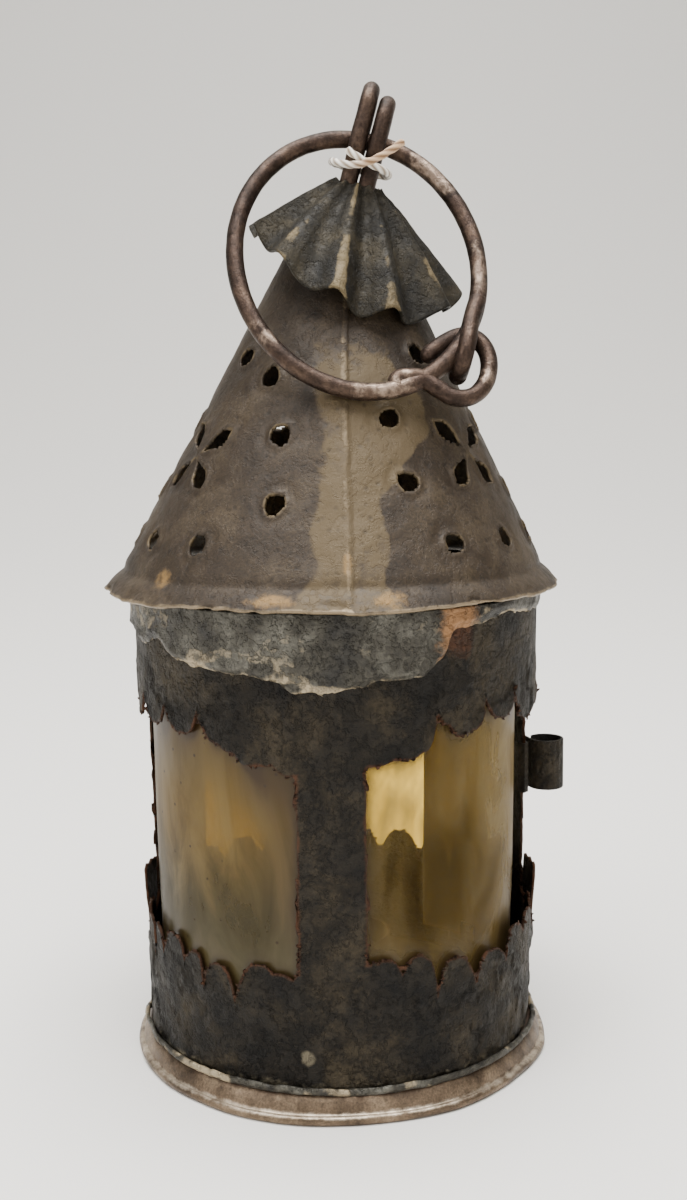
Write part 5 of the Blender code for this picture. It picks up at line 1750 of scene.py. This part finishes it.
@dataclass
class TagString:
    """A short cotton string tied once round the eye, over the cap, with one tail.

    Fields:
        finial: whose frame the route is in.
        diameter: of the string.
        route: points that the string follows, as (right, back, up) in metres in the finial's frame.
    """

    finial: Finial
    diameter: float = 1.6 * MM
    route: tuple[tuple[float, float, float], ...] = (
        (-0.0034, -0.0096, 0.0168), (-0.0012, -0.0097, 0.0160), (0.0012, -0.0095, 0.0154),
        (0.0044, -0.0081, 0.0150), (0.0060, -0.0041, 0.0151), (0.0057, 0.0014, 0.0153),
        (0.0022, 0.0036, 0.0154), (-0.0020, 0.0036, 0.0154), (-0.0055, 0.0014, 0.0152),
        (-0.0058, -0.0039, 0.0147), (-0.0042, -0.0081, 0.0140), (-0.0006, -0.0105, 0.0142),
        (0.0026, -0.0119, 0.0158), (0.0052, -0.0124, 0.0181), (0.0076, -0.0124, 0.0208),
    )

    def build(self, finishes: Finishes) -> None:
        """Args:
            finishes: the shared materials.
        """
        path = placed(spline(np.array(self.route), 260), self.finial.stand())
        steps = np.linalg.norm(np.diff(path, axis=0), axis=1)
        run = np.concatenate([[0.0], np.cumsum(steps)])
        sides = 18
        turn = np.linspace(0.0, 2.0 * math.pi, sides, endpoint=False)
        ply = np.cos(3.0 * (turn[None] - run[:, None] * 2.0 * math.pi / (7.5 * MM)))
        fray = Grain(97).layers(path, 1.1 * MM, 2)[:, None]
        ends = np.clip(np.minimum(run, run[-1] - run) / (0.3 * MM), 0.25, 1.0)[:, None]
        radius = 0.5 * self.diameter * (0.90 + 0.085 * ply + 0.02 * fray) * ends
        soil = np.repeat(smoothstep(run, run[-1] - 14.0 * MM, run[-1] - 8.0 * MM), sides)
        # The grooves between the plies are marked so that the finish darkens them as painted shade.
        string = tube("tag_string", path, radius, (0.0, 0.0, 1.0), sides,
                      {"soil": soil, "valley": (0.5 - 0.5 * ply).ravel()})
        dress(string, finishes.string, nodes=["tag_tie"])


# ---------------------------------------------------------------- studio
@dataclass
class Studio:
    """Paper sweep, soft lights and the camera.

    Fields:
        eye: the camera's place.
        down, roll: its tilt below level and its turn about its own axis, in degrees.
        lens, film: focal length and film height, in millimetres.
    """

    eye: tuple[float, float, float] = (0.0017, -0.3038, 0.1396)
    down: float = 7.83
    roll: float = -0.728
    lens: float = 42.25
    film: float = 36.0

    def sweep(self) -> None:
        """A flat floor that curves up behind the lantern into a wall, as one sheet.

        The slope eases from level to upright along the bend, so that no line shows where it begins.
        """
        share = np.linspace(0.0, 1.0, 97)
        turn = 0.5 * math.pi * smoothstep(share, 0.0, 1.0)
        step = 2.9 / 96
        bend = np.stack([np.cumsum(np.cos(turn)), np.cumsum(np.sin(turn))], axis=1) * step + [0.15, 0.0]
        flat = np.stack([np.linspace(-1.5, 0.15, 12), np.zeros(12)], axis=1)
        line = np.vstack([flat, bend, bend[-1:] + [[0.0, 1.5]]])
        run = np.arange(len(line), dtype=float)

        def place(across: Array, along: Array) -> Array:
            """A point of the paper, from the profile line's two columns."""
            back, up = np.interp(along, run, line[:, 0]), np.interp(along, run, line[:, 1])
            return np.stack([-across, back, up], axis=-1)

        paper = Sheet("paper_sweep", np.linspace(-3.0, 3.0, 9), run, place).build()
        paper.data.materials.append(PaperSweep().material())

    def light(self, name: str, place: Sequence[float], aim: Sequence[float], size: float,
              watts: float) -> None:
        """A square soft light aimed at a point.

        Args:
            name: the light's name.
            place: where it stands.
            aim: where it points.
            size: side of the square, in metres.
            watts: its power.
        """
        lamp = bpy.data.lights.new(name, "AREA")
        lamp.shape = "SQUARE"
        lamp.size = size
        lamp.energy = watts
        holder = bpy.data.objects.new(name, lamp)
        away = np.array(aim) - np.array(place)
        flat = math.hypot(away[0], away[1])
        holder.location = place
        holder.rotation_euler = (math.atan2(flat, -away[2]), 0.0, math.atan2(-away[0], away[1]))
        bpy.context.scene.collection.objects.link(holder)

    def camera(self) -> None:
        """The camera at the front, a little above the lantern's middle."""
        lens = bpy.data.cameras.new("camera")
        lens.sensor_fit = "VERTICAL"
        lens.sensor_height = self.film
        lens.lens = self.lens
        lens.clip_start = 0.01
        holder = bpy.data.objects.new("camera", lens)
        turn = Euler((math.radians(90.0 - self.down), 0.0, 0.0)).to_matrix().to_4x4()
        turn = turn @ Matrix.Rotation(math.radians(self.roll), 4, "Z")
        holder.matrix_world = Matrix.Translation(self.eye) @ turn
        bpy.context.scene.collection.objects.link(holder)
        bpy.context.scene.camera = holder

    def world(self) -> None:
        """Even pale surroundings, so that the metal has something to mirror."""
        room = bpy.data.worlds.new("room")
        room.use_nodes = True
        room.node_tree.nodes["Background"].inputs["Color"].default_value = linear("#f1eeea")
        room.node_tree.nodes["Background"].inputs["Strength"].default_value = 0.46
        bpy.context.scene.world = room

    def build(self) -> None:
        """Set up the sweep, the lights, the camera and the surroundings."""
        self.sweep()
        self.camera()
        self.world()
        self.light("top_soft", (0.0, -0.15, 1.0), (0.0, 0.0, 0.05), 0.8, 24.0)
        self.light("left_soft", (-0.75, -0.55, 0.55), (0.0, 0.0, 0.10), 0.6, 5.0)
        self.light("front_soft", (0.35, -0.9, 0.45), (0.0, 0.0, 0.10), 0.7, 3.5)
        self.light("back_wash", (0.0, 0.5, 1.6), (0.0, 1.3, 0.0), 1.4, 15.0)


def main() -> None:
    """Build the studio and every part of the lantern."""
    logging.basicConfig(level=logging.INFO, format="%(name)s: %(message)s")
    Studio().build()
    finishes = Finishes()
    wall = BodyWall()
    roof = Roof()
    finial = Finial(roof)
    for part in (TagString(finial), Foot(), wall, SolderWork(wall), Panes(wall), Door(wall), roof, finial):
        part.build(finishes)
        LOG.info("%s done", type(part).__name__)


if __name__ == "__main__":
    main()
